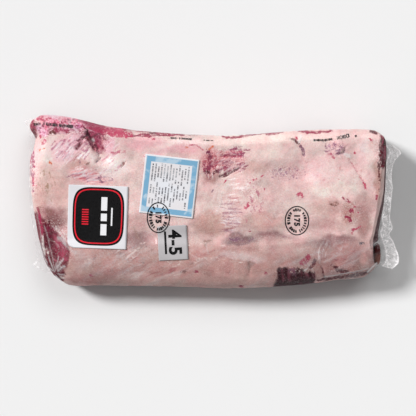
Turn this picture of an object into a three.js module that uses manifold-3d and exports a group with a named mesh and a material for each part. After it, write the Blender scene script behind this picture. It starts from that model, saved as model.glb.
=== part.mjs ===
import * as THREE from "three";
import { mergeVertices } from "three/addons/utils/BufferGeometryUtils.js";
import Module from "manifold-3d";

// A whole raw beef striploin, vacuum packed in a clear shrink bag and lying fat side up, with three
// paper labels. The tight bag and the meat in it are one solid; the labels lie on it. Millimetres, +Z
// up, +X along the loin towards the bag's sealed mouth, +Y towards the thick chine side. The origin is
// on the table, under the middle of the whole pack.

// Driving dimensions of the pack.
const FAT_HEIGHT = 75; // from the table to the top of the fat cap
const BULGE_HEIGHT = 33; // where the pack is widest, and where the bag's seals run
const CORNER_POWER = 2.2; // 2 rounds the sides like an ellipse, more makes them squarer

// How far the top and the base lie inside the widest outline, on each side of the loin, and the half
// length and half width that those distances are taken on.
const HALF_LENGTH = 240;
const HALF_WIDTH = 107;
const TOP_INSET = { blind: 27, mouth: 11, chine: 17, flank: 60 };
const BASE_INSET = { blind: 17, mouth: 9, chine: 11, flank: 17 };

// The widest outline seen from above, as [along the side, out to the side].
const CHINE_SIDE = [
  [-246.5, 111], [-231, 119.4], [-200, 117.6], [-149, 106.2], [-99, 98.4], [16, 92], [130, 99.3],
  [205, 100.6], [221, 98.4], [232, 91],
];
const FLANK_SIDE = [
  [-216, -100], [-196, -113], [-156, -113.8], [-43, -115.4], [32, -117.8], [124, -112.6],
  [171, -106], [205, -102.3], [222, -90],
];
const BLIND_END = [
  [-100, -216], [-82, -228], [-58, -235], [-10, -244], [30, -249], [60, -248], [86, -241.6],
  [102, -249.3], [111, -246.5],
];
const MOUTH_END = [
  [-90, 222], [-80, 230], [-59, 229.5], [-45, 226.2], [0, 234], [45, 237], [80, 236.4], [91, 232],
];

// Swells and hollows of the fat cap: each runs from one point to another and fades over its spread.
const RELIEF = {
  lowFlankCorner: { from: [-240, -98], to: [-232, -84], spread: 52, rise: -20 },
  chineCrease: { from: [-176, 103], to: [-145, 58], spread: 9, rise: -6 },
  rumpSwell: { from: [-215, 66], to: [-205, 45], spread: 34, rise: 3 },
  creaseSwell: { from: [-160, 60], to: [-150, 52], spread: 16, rise: 3 },
  labelHollow: { from: [4, 52], to: [24, 46], spread: 14, rise: -4 },
  middleSwell: { from: [55, 22], to: [64, -6], spread: 28, rise: 3 },
  ribHollow: { from: [80, 44], to: [124, 38], spread: 11, rise: -2 },
  flankGroove: { from: [-90, -46], to: [158, -42], spread: 10, rise: -3 },
  flankRidge: { from: [-6, -86], to: [176, -40], spread: 13, rise: 4 },
  mouthSwell: { from: [150, 22], to: [182, -4], spread: 26, rise: 3 },
  nodule: { from: [167, 76], to: [171, 71], spread: 9, rise: 3 },
};
const MOUTH_FALL = 5; // how much lower the mouth end of the fat cap is
const CHINE_RISE = 3; // how much higher the chine side is than the middle

// The bag beyond the meat: the crinkled tail past the mouth's seal, and the skirt at the blind end,
// which runs out into an ear at either corner. Each edge is given like the ends above.
const FILM_THICK = 2.6; // the gathered film of the tail and the skirt, as one solid
const FILM_ROOT = 9; // how deep both start inside the pack
const TAIL_ROOT_ENDS = [-83, 79.5];
const TAIL_EDGE = [
  [-91, 244.6], [-84, 252.6], [-75, 254.2], [-56, 248], [-43, 241.5], [-35, 245.5], [-20, 242],
  [18, 245.7], [36, 244.6], [56, 248], [68, 257], [78, 245.7],
];
const SKIRT_ROOT_ENDS = [-92, 109];
const SKIRT_EDGE = [
  [-95.5, -227], [-84.5, -245], [-78.5, -239.5], [-56, -241.8], [-10, -248.2], [40, -250.8],
  [90, -249.3], [102, -251], [111.5, -256.4], [114.5, -246],
];
const CRINKLE = { pitch: 15, tail: 3.2, skirt: 1.2 };

const FILMED_FAT = new THREE.MeshStandardMaterial({ color: 0xe6c4bd, roughness: 0.3, metalness: 0 });
const WHITE_PAPER = new THREE.MeshStandardMaterial({ color: 0xdcdbe0, roughness: 0.5, metalness: 0 });
const BLUE_PAPER = new THREE.MeshStandardMaterial({ color: 0x9dbfd4, roughness: 0.5, metalness: 0 });

// The labels: size, middle and turn on the fat cap.
const LABEL_THICK = 0.8;
const LABEL_GAP = 0.4; // between a label and the pack under it
const LABELS = {
  label_square: { width: 79.5, height: 84, middle: [-153.6, -19.5], turn: -2, paper: WHITE_PAPER },
  label_blue: { width: 72.5, height: 79, middle: [-57.8, 21.6], turn: -6.6, paper: BLUE_PAPER },
  label_grade: { width: 39.5, height: 46, middle: [-53.2, -54], turn: 3, paper: WHITE_PAPER },
};

// How finely the curved surfaces are divided.
const PACK_GRID = { along: 50, across: 24, below: 4, above: 7 };
const TAIL_ROWS = 56;
const SKIRT_ROWS = 44;
const FILM_COLUMNS = 4;
const LABEL_CELL = 8;

const lerp = THREE.MathUtils.lerp;

// The height at a place on a smooth curve through stations of [place, height].
function smoothThrough(stations, place) {
  const last = stations.length - 1;
  const slope = (k) => {
    const before = stations[Math.max(k - 1, 0)];
    const after = stations[Math.min(k + 1, last)];
    return (after[1] - before[1]) / (after[0] - before[0]);
  };
  let i = 1;
  while (i < last && place > stations[i][0]) i += 1;
  const [x0, y0] = stations[i - 1];
  const [x1, y1] = stations[i];
  const span = x1 - x0;
  const t = THREE.MathUtils.clamp((place - x0) / span, 0, 1);
  const ease = t * t * (3 - 2 * t);
  const leave = t * (1 - t) * (1 - t) * span * slope(i - 1);
  const arrive = t * t * (t - 1) * span * slope(i);
  return lerp(y0, y1, ease) + leave + arrive;
}

// The point of a side that lies a share of the way from its first station to its last.
function onSide(side, share) {
  const place = lerp(side[0][0], side[side.length - 1][0], share);
  return [place, smoothThrough(side, place)];
}

// A point of the plan, with along and across from -1 to 1, blended from the four sides.
function planPoint(along, across) {
  const s = (along + 1) / 2;
  const t = (across + 1) / 2;
  const [flankX, flankY] = onSide(FLANK_SIDE, s);
  const [chineX, chineY] = onSide(CHINE_SIDE, s);
  const [blindY, blindX] = onSide(BLIND_END, t);
  const [mouthY, mouthX] = onSide(MOUTH_END, t);
  const [[x00, y00], [x10, y10]] = [onSide(FLANK_SIDE, 0), onSide(FLANK_SIDE, 1)];
  const [[x01, y01], [x11, y11]] = [onSide(CHINE_SIDE, 0), onSide(CHINE_SIDE, 1)];
  const cornersX = lerp(lerp(x00, x10, s), lerp(x01, x11, s), t);
  const cornersY = lerp(lerp(y00, y10, s), lerp(y01, y11, s), t);
  return [
    lerp(flankX, chineX, t) + lerp(blindX, mouthX, s) - cornersX,
    lerp(flankY, chineY, t) + lerp(blindY, mouthY, s) - cornersY,
  ];
}

// The height of the fat cap over a point of the table.
function fatHeight(x, y) {
  const { MathUtils } = THREE;
  let height = FAT_HEIGHT;
  height -= MOUTH_FALL * MathUtils.smoothstep(x, 60, 235);
  height += CHINE_RISE * MathUtils.smoothstep(y, 10, 95);
  for (const { from, to, spread, rise } of Object.values(RELIEF)) {
    const line = new THREE.Line3(new THREE.Vector3(...from, 0), new THREE.Vector3(...to, 0));
    const here = new THREE.Vector3(x, y, 0);
    const nearest = line.closestPointToPoint(here, true, new THREE.Vector3());
    height += rise * Math.exp(-((here.distanceTo(nearest) / spread) ** 2));
  }
  return height;
}

// The pack's own surface: along and across run from -1 to 1, and level from -1, the base, over 0, the
// widest outline, to 1, the top.
function packPoint(along, across, level) {
  const angle = (level * Math.PI) / 2;
  const reach = Math.cos(angle) ** (2 / CORNER_POWER);
  const climb = Math.abs(Math.sin(angle)) ** (2 / CORNER_POWER);
  const drawIn = (insets, share) => [
    along * (1 - (share * (along < 0 ? insets.blind : insets.mouth)) / HALF_LENGTH),
    across * (1 - (share * (across < 0 ? insets.flank : insets.chine)) / HALF_WIDTH),
  ];
  const [x, y] = planPoint(...drawIn(level > 0 ? TOP_INSET : BASE_INSET, 1 - reach));
  if (level <= 0) return [x, y, BULGE_HEIGHT * (1 - climb)];
  const shoulder = fatHeight(...planPoint(...drawIn(TOP_INSET, 1)));
  const top = level === 1 ? fatHeight(x, y) : shoulder;
  return [x, y, lerp(BULGE_HEIGHT, top, climb)];
}

// Moves every vertex of a closed box grid, given from -1 to 1 along each axis, to place(a, b, c).
function shapeGrid(segments, place) {
  const box = new THREE.BoxGeometry(2, 2, 2, ...segments);
  box.deleteAttribute("normal");
  box.deleteAttribute("uv");
  const grid = mergeVertices(box, 1e-5);
  const position = grid.getAttribute("position");
  for (let i = 0; i < position.count; i += 1) {
    position.setXYZ(i, ...place(position.getX(i), position.getY(i), position.getZ(i)));
  }
  return grid;
}

function packGeometry() {
  const { along, across, below, above } = PACK_GRID;
  return shapeGrid([along, across, below + above], (a, b, c) => {
    const row = Math.round(((c + 1) / 2) * (below + above)) - below;
    return packPoint(a, b, row < 0 ? row / below : row / above);
  });
}

// A strip of gathered film from its root inside the pack to its free edge, waved up and down there.
// The side is 1 for the mouth's tail, and -1 for the blind end's skirt.
function filmGeometry({ side, end, rootEnds, edge, rows, wave }) {
  return shapeGrid([FILM_COLUMNS, rows, 1], (a, b, c) => {
    const t = (b + 1) / 2;
    const out = (1 + side * a) / 2;
    const rootY = lerp(rootEnds[0], rootEnds[1], t);
    const edgeY = lerp(edge[0][0], edge[edge.length - 1][0], t);
    const rootX = smoothThrough(end, rootY) - side * FILM_ROOT;
    const x = lerp(rootX, smoothThrough(edge, edgeY), out);
    const y = lerp(rootY, edgeY, out);
    const fold = Math.sin((2 * Math.PI * y) / CRINKLE.pitch + 1.4 * Math.sin(y / 13));
    return [x, y, BULGE_HEIGHT + wave * out * fold + (c * FILM_THICK) / 2];
  });
}

function tailGeometry() {
  return filmGeometry({
    side: 1,
    end: MOUTH_END,
    rootEnds: TAIL_ROOT_ENDS,
    edge: TAIL_EDGE,
    rows: TAIL_ROWS,
    wave: CRINKLE.tail,
  });
}

function skirtGeometry() {
  return filmGeometry({
    side: -1,
    end: BLIND_END,
    rootEnds: SKIRT_ROOT_ENDS,
    edge: SKIRT_EDGE,
    rows: SKIRT_ROWS,
    wave: CRINKLE.skirt,
  });
}

// The pack's top over a place of the table, as the highest point found close around it.
function restingHeight(body, x, y) {
  const around = [-LABEL_CELL / 4, 0, LABEL_CELL / 4];
  const down = new THREE.Vector3(0, 0, -1);
  let highest = 0;
  for (const dx of around) {
    for (const dy of around) {
      const above = new THREE.Vector3(x + dx, y + dy, 2 * FAT_HEIGHT);
      const [hit] = new THREE.Raycaster(above, down).intersectObject(body);
      highest = Math.max(highest, hit.point.z);
    }
  }
  return highest;
}

// A thin card that follows the fat cap under it.
function labelGeometry(body, { width, height, middle, turn }) {
  const angle = THREE.MathUtils.degToRad(turn);
  const cells = [Math.round(width / LABEL_CELL), Math.round(height / LABEL_CELL), 1];
  return shapeGrid(cells, (a, b, c) => {
    const across = (a * width) / 2;
    const up = (b * height) / 2;
    const x = middle[0] + across * Math.cos(angle) - up * Math.sin(angle);
    const y = middle[1] + across * Math.sin(angle) + up * Math.cos(angle);
    const under = restingHeight(body, x, y) + LABEL_GAP;
    return [x, y, under + ((c + 1) / 2) * LABEL_THICK];
  });
}

const wasm = await Module();
wasm.setup();

function toSolid(geometry) {
  return new wasm.Manifold(
    new wasm.Mesh({
      numProp: 3,
      vertProperties: geometry.getAttribute("position").array,
      triVerts: new Uint32Array(geometry.index.array),
    }),
  );
}

function toGeometry(solid) {
  const mesh = solid.getMesh();
  const geometry = new THREE.BufferGeometry();
  geometry.setAttribute("position", new THREE.BufferAttribute(mesh.vertProperties, 3));
  geometry.setIndex(new THREE.BufferAttribute(mesh.triVerts, 1));
  geometry.computeVertexNormals();
  return geometry;
}

const pack = new THREE.Group();

const bag = toSolid(packGeometry()).add(toSolid(tailGeometry())).add(toSolid(skirtGeometry()));
const bagMesh = new THREE.Mesh(toGeometry(bag), FILMED_FAT);
bagMesh.name = "bagged_striploin";
pack.add(bagMesh);

for (const [name, label] of Object.entries(LABELS)) {
  const card = new THREE.Mesh(labelGeometry(bagMesh, label), label.paper);
  card.geometry.computeVertexNormals();
  card.name = name;
  pack.add(card);
}

const box = new THREE.Box3().setFromObject(pack);
const centre = box.getCenter(new THREE.Vector3());
pack.position.set(-centre.x, -centre.y, -box.min.z);

export default pack;
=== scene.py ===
# %% [markdown]
# A whole raw beef striploin lies fat side up in its clear shrink bag, seen straight from above. The
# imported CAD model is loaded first: its solids give the size and the place of everything made here.

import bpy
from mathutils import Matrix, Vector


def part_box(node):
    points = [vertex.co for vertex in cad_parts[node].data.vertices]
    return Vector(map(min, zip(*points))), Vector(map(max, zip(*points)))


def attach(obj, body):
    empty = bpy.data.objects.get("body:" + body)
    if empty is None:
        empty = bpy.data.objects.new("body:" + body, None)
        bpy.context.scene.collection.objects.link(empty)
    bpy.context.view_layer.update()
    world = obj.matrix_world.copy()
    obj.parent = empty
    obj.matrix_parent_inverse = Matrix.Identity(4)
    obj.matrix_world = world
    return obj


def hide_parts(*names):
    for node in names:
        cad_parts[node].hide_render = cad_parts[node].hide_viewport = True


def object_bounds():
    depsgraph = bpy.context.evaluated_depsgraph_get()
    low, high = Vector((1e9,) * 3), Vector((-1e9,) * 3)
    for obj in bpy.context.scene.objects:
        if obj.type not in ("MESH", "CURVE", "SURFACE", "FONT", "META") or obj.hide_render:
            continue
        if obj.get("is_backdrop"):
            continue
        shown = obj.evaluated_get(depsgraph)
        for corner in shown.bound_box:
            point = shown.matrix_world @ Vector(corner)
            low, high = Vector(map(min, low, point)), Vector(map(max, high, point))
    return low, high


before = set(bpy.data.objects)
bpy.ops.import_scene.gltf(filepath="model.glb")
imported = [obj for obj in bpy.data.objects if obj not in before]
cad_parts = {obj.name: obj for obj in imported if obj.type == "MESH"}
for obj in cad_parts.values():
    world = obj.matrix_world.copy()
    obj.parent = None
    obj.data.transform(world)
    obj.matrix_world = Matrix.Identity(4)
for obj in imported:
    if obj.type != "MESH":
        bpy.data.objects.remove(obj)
cad_box = [list(corner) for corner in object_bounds()]

import math

import bmesh
import bpy
import numpy as np
from mathutils import Vector
from mathutils.bvhtree import BVHTree
from mathutils.geometry import delaunay_2d_cdt

print("CAD box in mm:", [[round(v * 1000, 1) for v in corner] for corner in cad_box])

# %% [markdown]
# Real sizes are in millimetres and Blender's unit is the metre, so every mesh is scaled as it is
# made. Colours are written as sRGB hex, as a colour picker gives them, and one function turns them
# to the linear values that the shaders work in.

# %% Units, colours and small helpers
MM = 0.001


def linear(hex_colour):
    channels = [int(hex_colour[k : k + 2], 16) / 255 for k in (1, 3, 5)]
    return np.array([c / 12.92 if c <= 0.04045 else ((c + 0.055) / 1.055) ** 2.4 for c in channels])


def rgba(hex_colour):
    return (*linear(hex_colour), 1.0)


def lerp(a, b, share):
    return a + (b - a) * share


def smoothstep(value, low, high):
    t = np.clip((value - low) / (high - low), 0, 1)
    return t * t * (3 - 2 * t)


def lattice(x, y, seed):
    """A repeatable random number from 0 to 1 for each whole-number place."""
    n = (x.astype(np.int64) * 374761393 + y.astype(np.int64) * 668265263 + seed * 974634777) & 0xFFFFFFFF
    n = ((n ^ (n >> 13)) * 1274126177) & 0xFFFFFFFF
    return ((n ^ (n >> 16)) & 0xFFFF) / 65535


def mottle(x, y, size, seed, octaves=3, fade=0.5):
    """Smooth noise from 0 to 1 whose largest lumps are size across; each finer layer fades."""
    total, weight, gain = 0.0, 0.0, 1.0
    for octave in range(octaves):
        u, v = x / size + 31.7 * octave, y / size - 17.3 * octave
        i, j = np.floor(u), np.floor(v)
        s, t = smoothstep(u - i, 0, 1), smoothstep(v - j, 0, 1)
        low = lerp(lattice(i, j, seed + octave), lattice(i + 1, j, seed + octave), s)
        high = lerp(lattice(i, j + 1, seed + octave), lattice(i + 1, j + 1, seed + octave), s)
        total, weight = total + gain * lerp(low, high, t), weight + gain
        gain, size = gain * fade, size * 0.5
    return total / weight


print("fat pink in linear light:", linear("#efd2cd").round(3))

# %% [markdown]
# The camera hangs straight above the loin, as it did for the photograph. It is made first, because
# the marks on the meat are placed by where they show in the picture: `seen_at` turns a point in
# space to the place in the picture where the camera sees it, and `under` turns it back.

# %% The camera above the table
PICTURE_PX = 416
CAMERA_PLACE = (-6.25, -8.48, 1900.0)   # mm
MIDDLE_HEIGHT = 40.0                    # mm above the table, where one pixel is MM_PER_PX
MM_PER_PX = 1.36
SENSOR_MM = 36.0

reach = CAMERA_PLACE[2] - MIDDLE_HEIGHT
camera_data = bpy.data.cameras.new("camera_above")
camera_data.sensor_width = SENSOR_MM
camera_data.lens = SENSOR_MM * reach / (PICTURE_PX * MM_PER_PX)
camera_data.clip_start, camera_data.clip_end = 0.1, 20.0
camera = bpy.data.objects.new("camera_above", camera_data)
camera.location = [v * MM for v in CAMERA_PLACE]
bpy.context.scene.collection.objects.link(camera)
bpy.context.scene.camera = camera
print("lens:", round(camera_data.lens, 2), "mm")


def seen_at(points):
    scale = MM_PER_PX * (CAMERA_PLACE[2] - points[:, 2]) / reach
    return (PICTURE_PX / 2 + (points[:, 0] - CAMERA_PLACE[0]) / scale,
            PICTURE_PX / 2 - (points[:, 1] - CAMERA_PLACE[1]) / scale)


def under(px, py, height):
    """The place on the plan, in mm, of a picture point that lies at a height above the table."""
    scale = MM_PER_PX * (CAMERA_PLACE[2] - height) / reach
    return (CAMERA_PLACE[0] + (px - PICTURE_PX / 2) * scale,
            CAMERA_PLACE[1] - (py - PICTURE_PX / 2) * scale)


# %% [markdown]
# The loin is a long slab with a crowned, rounded edge. Its plan is a patch between four edge lines,
# and each wall is a superellipse from the fat cap down to the widest line and in again to the base.
# The same rule made the CAD solid, so the meat and the film fit it exactly, at a finer grid.

# %% The loin's form
FAT_HEIGHT, BULGE_HEIGHT, CORNER_POWER = 75, 33, 2.2
HALF_LENGTH, HALF_WIDTH = 240, 107
PLAN_SHIFT = (-0.131, -1.0)
TOP_INSET = {"blind": 27, "mouth": 11, "chine": 17, "flank": 60}
BASE_INSET = {"blind": 17, "mouth": 9, "chine": 11, "flank": 17}
CHINE_SIDE = [(-246.5, 111), (-231, 119.4), (-200, 117.6), (-149, 106.2), (-99, 98.4), (16, 92),
              (130, 99.3), (205, 100.6), (221, 98.4), (232, 91)]
FLANK_SIDE = [(-216, -100), (-196, -113), (-156, -113.8), (-43, -115.4), (32, -117.8),
              (124, -112.6), (171, -106), (205, -102.3), (222, -90)]
BLIND_END = [(-100, -216), (-82, -228), (-58, -235), (-10, -244), (30, -249), (60, -248),
             (86, -241.6), (102, -249.3), (111, -246.5)]
MOUTH_END = [(-90, 222), (-80, 230), (-59, 229.5), (-45, 226.2), (0, 234), (45, 237), (80, 236.4),
             (91, 232)]
MOUTH_FALL, CHINE_RISE = 5, 3
RELIEF = {   # from and to on the plan, spread, rise
    "low_flank_corner": ((-240, -98), (-232, -84), 52, -20),
    "chine_crease": ((-176, 103), (-145, 58), 9, -6),
    "rump_swell": ((-215, 66), (-205, 45), 34, 3),
    "crease_swell": ((-160, 60), (-150, 52), 16, 3),
    "label_hollow": ((4, 52), (24, 46), 14, -4),
    "middle_swell": ((55, 22), (64, -6), 28, 3),
    "rib_hollow": ((80, 44), (124, 38), 11, -2),
    "flank_groove": ((-90, -46), (158, -42), 10, -3),
    "flank_ridge": ((-6, -86), (176, -40), 13, 4),
    "mouth_swell": ((150, 22), (182, -4), 26, 3),
    "nodule": ((167, 76), (171, 71), 9, 3),
}


def smooth_through(stations, place):
    """A smooth curve through (place, value) stations, read at one or many places."""
    knots, values = np.array(stations, float).T
    slopes = np.empty_like(values)
    slopes[1:-1] = (values[2:] - values[:-2]) / (knots[2:] - knots[:-2])
    slopes[0] = (values[1] - values[0]) / (knots[1] - knots[0])
    slopes[-1] = (values[-1] - values[-2]) / (knots[-1] - knots[-2])
    i = np.clip(np.searchsorted(knots, place), 1, len(knots) - 1)
    span = knots[i] - knots[i - 1]
    t = np.clip((place - knots[i - 1]) / span, 0, 1)
    return (lerp(values[i - 1], values[i], t * t * (3 - 2 * t))
            + t * (1 - t) ** 2 * span * slopes[i - 1] + t * t * (t - 1) * span * slopes[i])


def on_side(side, share):
    place = lerp(side[0][0], side[-1][0], share)
    return place, smooth_through(side, place)


def plan_point(along, across):
    """Where a place on the plan lies, in mm: along and across run from -1 to 1."""
    s, t = (along + 1) / 2, (across + 1) / 2
    flank_x, flank_y = on_side(FLANK_SIDE, s)
    chine_x, chine_y = on_side(CHINE_SIDE, s)
    blind_y, blind_x = on_side(BLIND_END, t)
    mouth_y, mouth_x = on_side(MOUTH_END, t)
    (x00, y00), (x10, y10) = FLANK_SIDE[0], FLANK_SIDE[-1]
    (x01, y01), (x11, y11) = CHINE_SIDE[0], CHINE_SIDE[-1]
    corners_x = lerp(lerp(x00, x10, s), lerp(x01, x11, s), t)
    corners_y = lerp(lerp(y00, y10, s), lerp(y01, y11, s), t)
    return (lerp(flank_x, chine_x, t) + lerp(blind_x, mouth_x, s) - corners_x,
            lerp(flank_y, chine_y, t) + lerp(blind_y, mouth_y, s) - corners_y)


def far_from(x, y, start, end):
    """Distance from points to the line between two ends."""
    (x0, y0), (x1, y1) = start, end
    length = (x1 - x0) ** 2 + (y1 - y0) ** 2
    t = np.clip(((x - x0) * (x1 - x0) + (y - y0) * (y1 - y0)) / max(length, 1e-9), 0, 1)
    return np.hypot(x - x0 - t * (x1 - x0), y - y0 - t * (y1 - y0))


def far_from_path(x, y, path):
    return np.min([far_from(x, y, start, end) for start, end in zip(path, path[1:])], axis=0)


def fat_height(x, y):
    height = FAT_HEIGHT - MOUTH_FALL * smoothstep(x, 60, 235) + CHINE_RISE * smoothstep(y, 10, 95)
    for start, end, spread, rise in RELIEF.values():
        height = height + rise * np.exp(-((far_from(x, y, start, end) / spread) ** 2))
    return height


def loin_point(along, across, level):
    """A point of the form: level 1 is the fat cap, 0 the widest line and -1 the base."""
    angle = level * math.pi / 2
    reach_out = np.clip(np.cos(angle), 0, 1) ** (2 / CORNER_POWER)
    climb = np.abs(np.sin(angle)) ** (2 / CORNER_POWER)

    def draw_in(insets, share):
        ends = np.where(along < 0, insets["blind"], insets["mouth"]) / HALF_LENGTH
        sides = np.where(across < 0, insets["flank"], insets["chine"]) / HALF_WIDTH
        return along * (1 - share * ends), across * (1 - share * sides)

    upper = plan_point(*draw_in(TOP_INSET, 1 - reach_out))
    lower = plan_point(*draw_in(BASE_INSET, 1 - reach_out))
    x, y = np.where(level > 0, upper, lower)
    shoulder = fat_height(*plan_point(*draw_in(TOP_INSET, 1)))
    top = np.where(level >= 1, fat_height(x, y), shoulder)
    z = np.where(level > 0, lerp(BULGE_HEIGHT, top, climb), BULGE_HEIGHT * (1 - climb))
    return np.stack([x + PLAN_SHIFT[0], y + PLAN_SHIFT[1], z], axis=1)


# %% [markdown]
# A closed skin over that form is a grid on the fat cap, rings down the walls, and a triangulated
# base. A plain cube with a subdivision modifier would spend its faces evenly, but this way the
# seen side gets cells of about 1.4 mm and the base far fewer. Both the meat and the bag are such
# skins, each moved in or out a little along its normals.

# %% Closed skins over the form
RAY_FROM = 200.0   # mm above the table, over all of it


def grid_faces(index):
    """The four-sided faces between the points of a grid of indices."""
    return np.stack([index[:-1, :-1], index[1:, :-1], index[1:, 1:], index[:-1, 1:]], -1).reshape(-1, 4)


def grid_rim(index):
    return np.concatenate([index[:-1, 0], index[-1, :-1], index[:0:-1, -1], index[0, :0:-1]])


def plan_triangles(rim, cell, start, clear, every=1):
    """Triangulates the inside of a flat outline, with inner points a cell apart and clear of the rim."""
    low, high = rim.min(0), rim.max(0)
    grid = np.stack(np.meshgrid(np.arange(low[0] + start, high[0], cell),
                                np.arange(low[1] + start, high[1], cell)), -1).reshape(-1, 2)
    gap = np.min(np.hypot(*(grid[:, None] - rim[None, ::every]).transpose(2, 0, 1)), axis=1)
    flat = [Vector(point) for point in np.concatenate([rim, grid[gap > clear]])]
    return delaunay_2d_cdt(flat, [], [list(range(len(rim)))], 1, 1e-6)


def height_under(tree, x, y, missed):
    """The height in mm of a surface under each place on the plan."""
    hits = [tree.ray_cast(Vector((u, v, RAY_FROM)), Vector((0, 0, -1)))[0] for u, v in zip(x, y)]
    return np.array([missed if hit is None else hit.z for hit in hits])


def closed_skin(cells_along, cells_across, upper_rings, lower_rings, base_cell):
    """Points and faces of a closed skin over the loin's form, and where each point is on it."""
    along, across = np.meshgrid(np.linspace(-1, 1, cells_along + 1),
                                np.linspace(-1, 1, cells_across + 1), indexing="ij")
    index = np.arange(along.size).reshape(along.shape)
    edge = grid_rim(index)
    along, across = along.ravel(), across.ravel()
    levels = np.concatenate([np.linspace(1, 0, upper_rings + 1)[1:],
                             np.linspace(0, -1, lower_rings + 1)[1:]])
    rings = np.concatenate([edge[None]] + [len(along) + k * len(edge) + np.arange(len(edge))[None]
                                           for k in range(len(levels))])
    outer, inner = rings[:-1], rings[1:]
    walls = np.stack([outer, inner, np.roll(inner, -1, 1), np.roll(outer, -1, 1)], -1).reshape(-1, 4)
    all_along = np.concatenate([along] + [along[edge]] * len(levels))
    all_across = np.concatenate([across] + [across[edge]] * len(levels))
    all_levels = np.concatenate([np.ones(len(along)), np.repeat(levels, len(edge))])
    points = loin_point(all_along, all_across, all_levels)

    # the base: its rim is the last ring, and only its inner points are new
    last = rings[-1]
    made = plan_triangles(points[last, :2], base_cell, 0, base_cell * 0.6, every=6)
    index_of, inner_points = {}, []
    for k, source in enumerate(made[3]):
        if min(source) < len(last):
            index_of[k] = int(last[min(source)])
        else:
            index_of[k] = len(points) + len(inner_points)
            inner_points.append((made[0][k].x, made[0][k].y, 0.0))
    base = [[index_of[k] for k in reversed(face)] for face in made[2]]
    points = np.concatenate([points, np.array(inner_points)])
    spare = np.zeros(len(inner_points))
    where = {"along": np.concatenate([all_along, spare]), "across": np.concatenate([all_across, spare]),
             "level": np.concatenate([all_levels, spare - 1])}
    return points, [*grid_faces(index).tolist(), *walls.tolist(), *base], where


def new_mesh(name, points, faces):
    mesh = bpy.data.meshes.new(name)
    mesh.from_pydata((np.asarray(points) * MM).tolist(), [], faces)
    mesh.validate()
    mesh.polygons.foreach_set("use_smooth", [True] * len(mesh.polygons))
    mesh.update()
    return mesh


def normals_of(mesh):
    out = np.empty(len(mesh.vertices) * 3)
    mesh.vertices.foreach_get("normal", out)
    return out.reshape(-1, 3)


def triangles_of(mesh):
    return sum(len(p.vertices) - 2 for p in mesh.polygons)


form_points, form_faces, form_where = closed_skin(300, 150, 42, 10, 7)
form = new_mesh("loin_form", form_points, form_faces)
form_tree = BVHTree.FromPolygons(form_points.tolist(), form_faces)
print("meat grid:", len(form_points), "points,", triangles_of(form), "triangles, top",
      form_points[:, 2].max().round(2), "mm")

# %% [markdown]
# Fat is not one pink. The broad tones of the cap come first, each a soft-edged oval laid over the
# last: cream where the fat is thick, tan where it dries, rose where lean shows through, mauve on the
# slope to the flank. They could be painted by hand in texture paint mode, but named ovals can be
# moved and recoloured one by one, and they share one short list of shades, so that the cap stays of
# one kind. Places are picture pixels, as the camera sees them.

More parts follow.
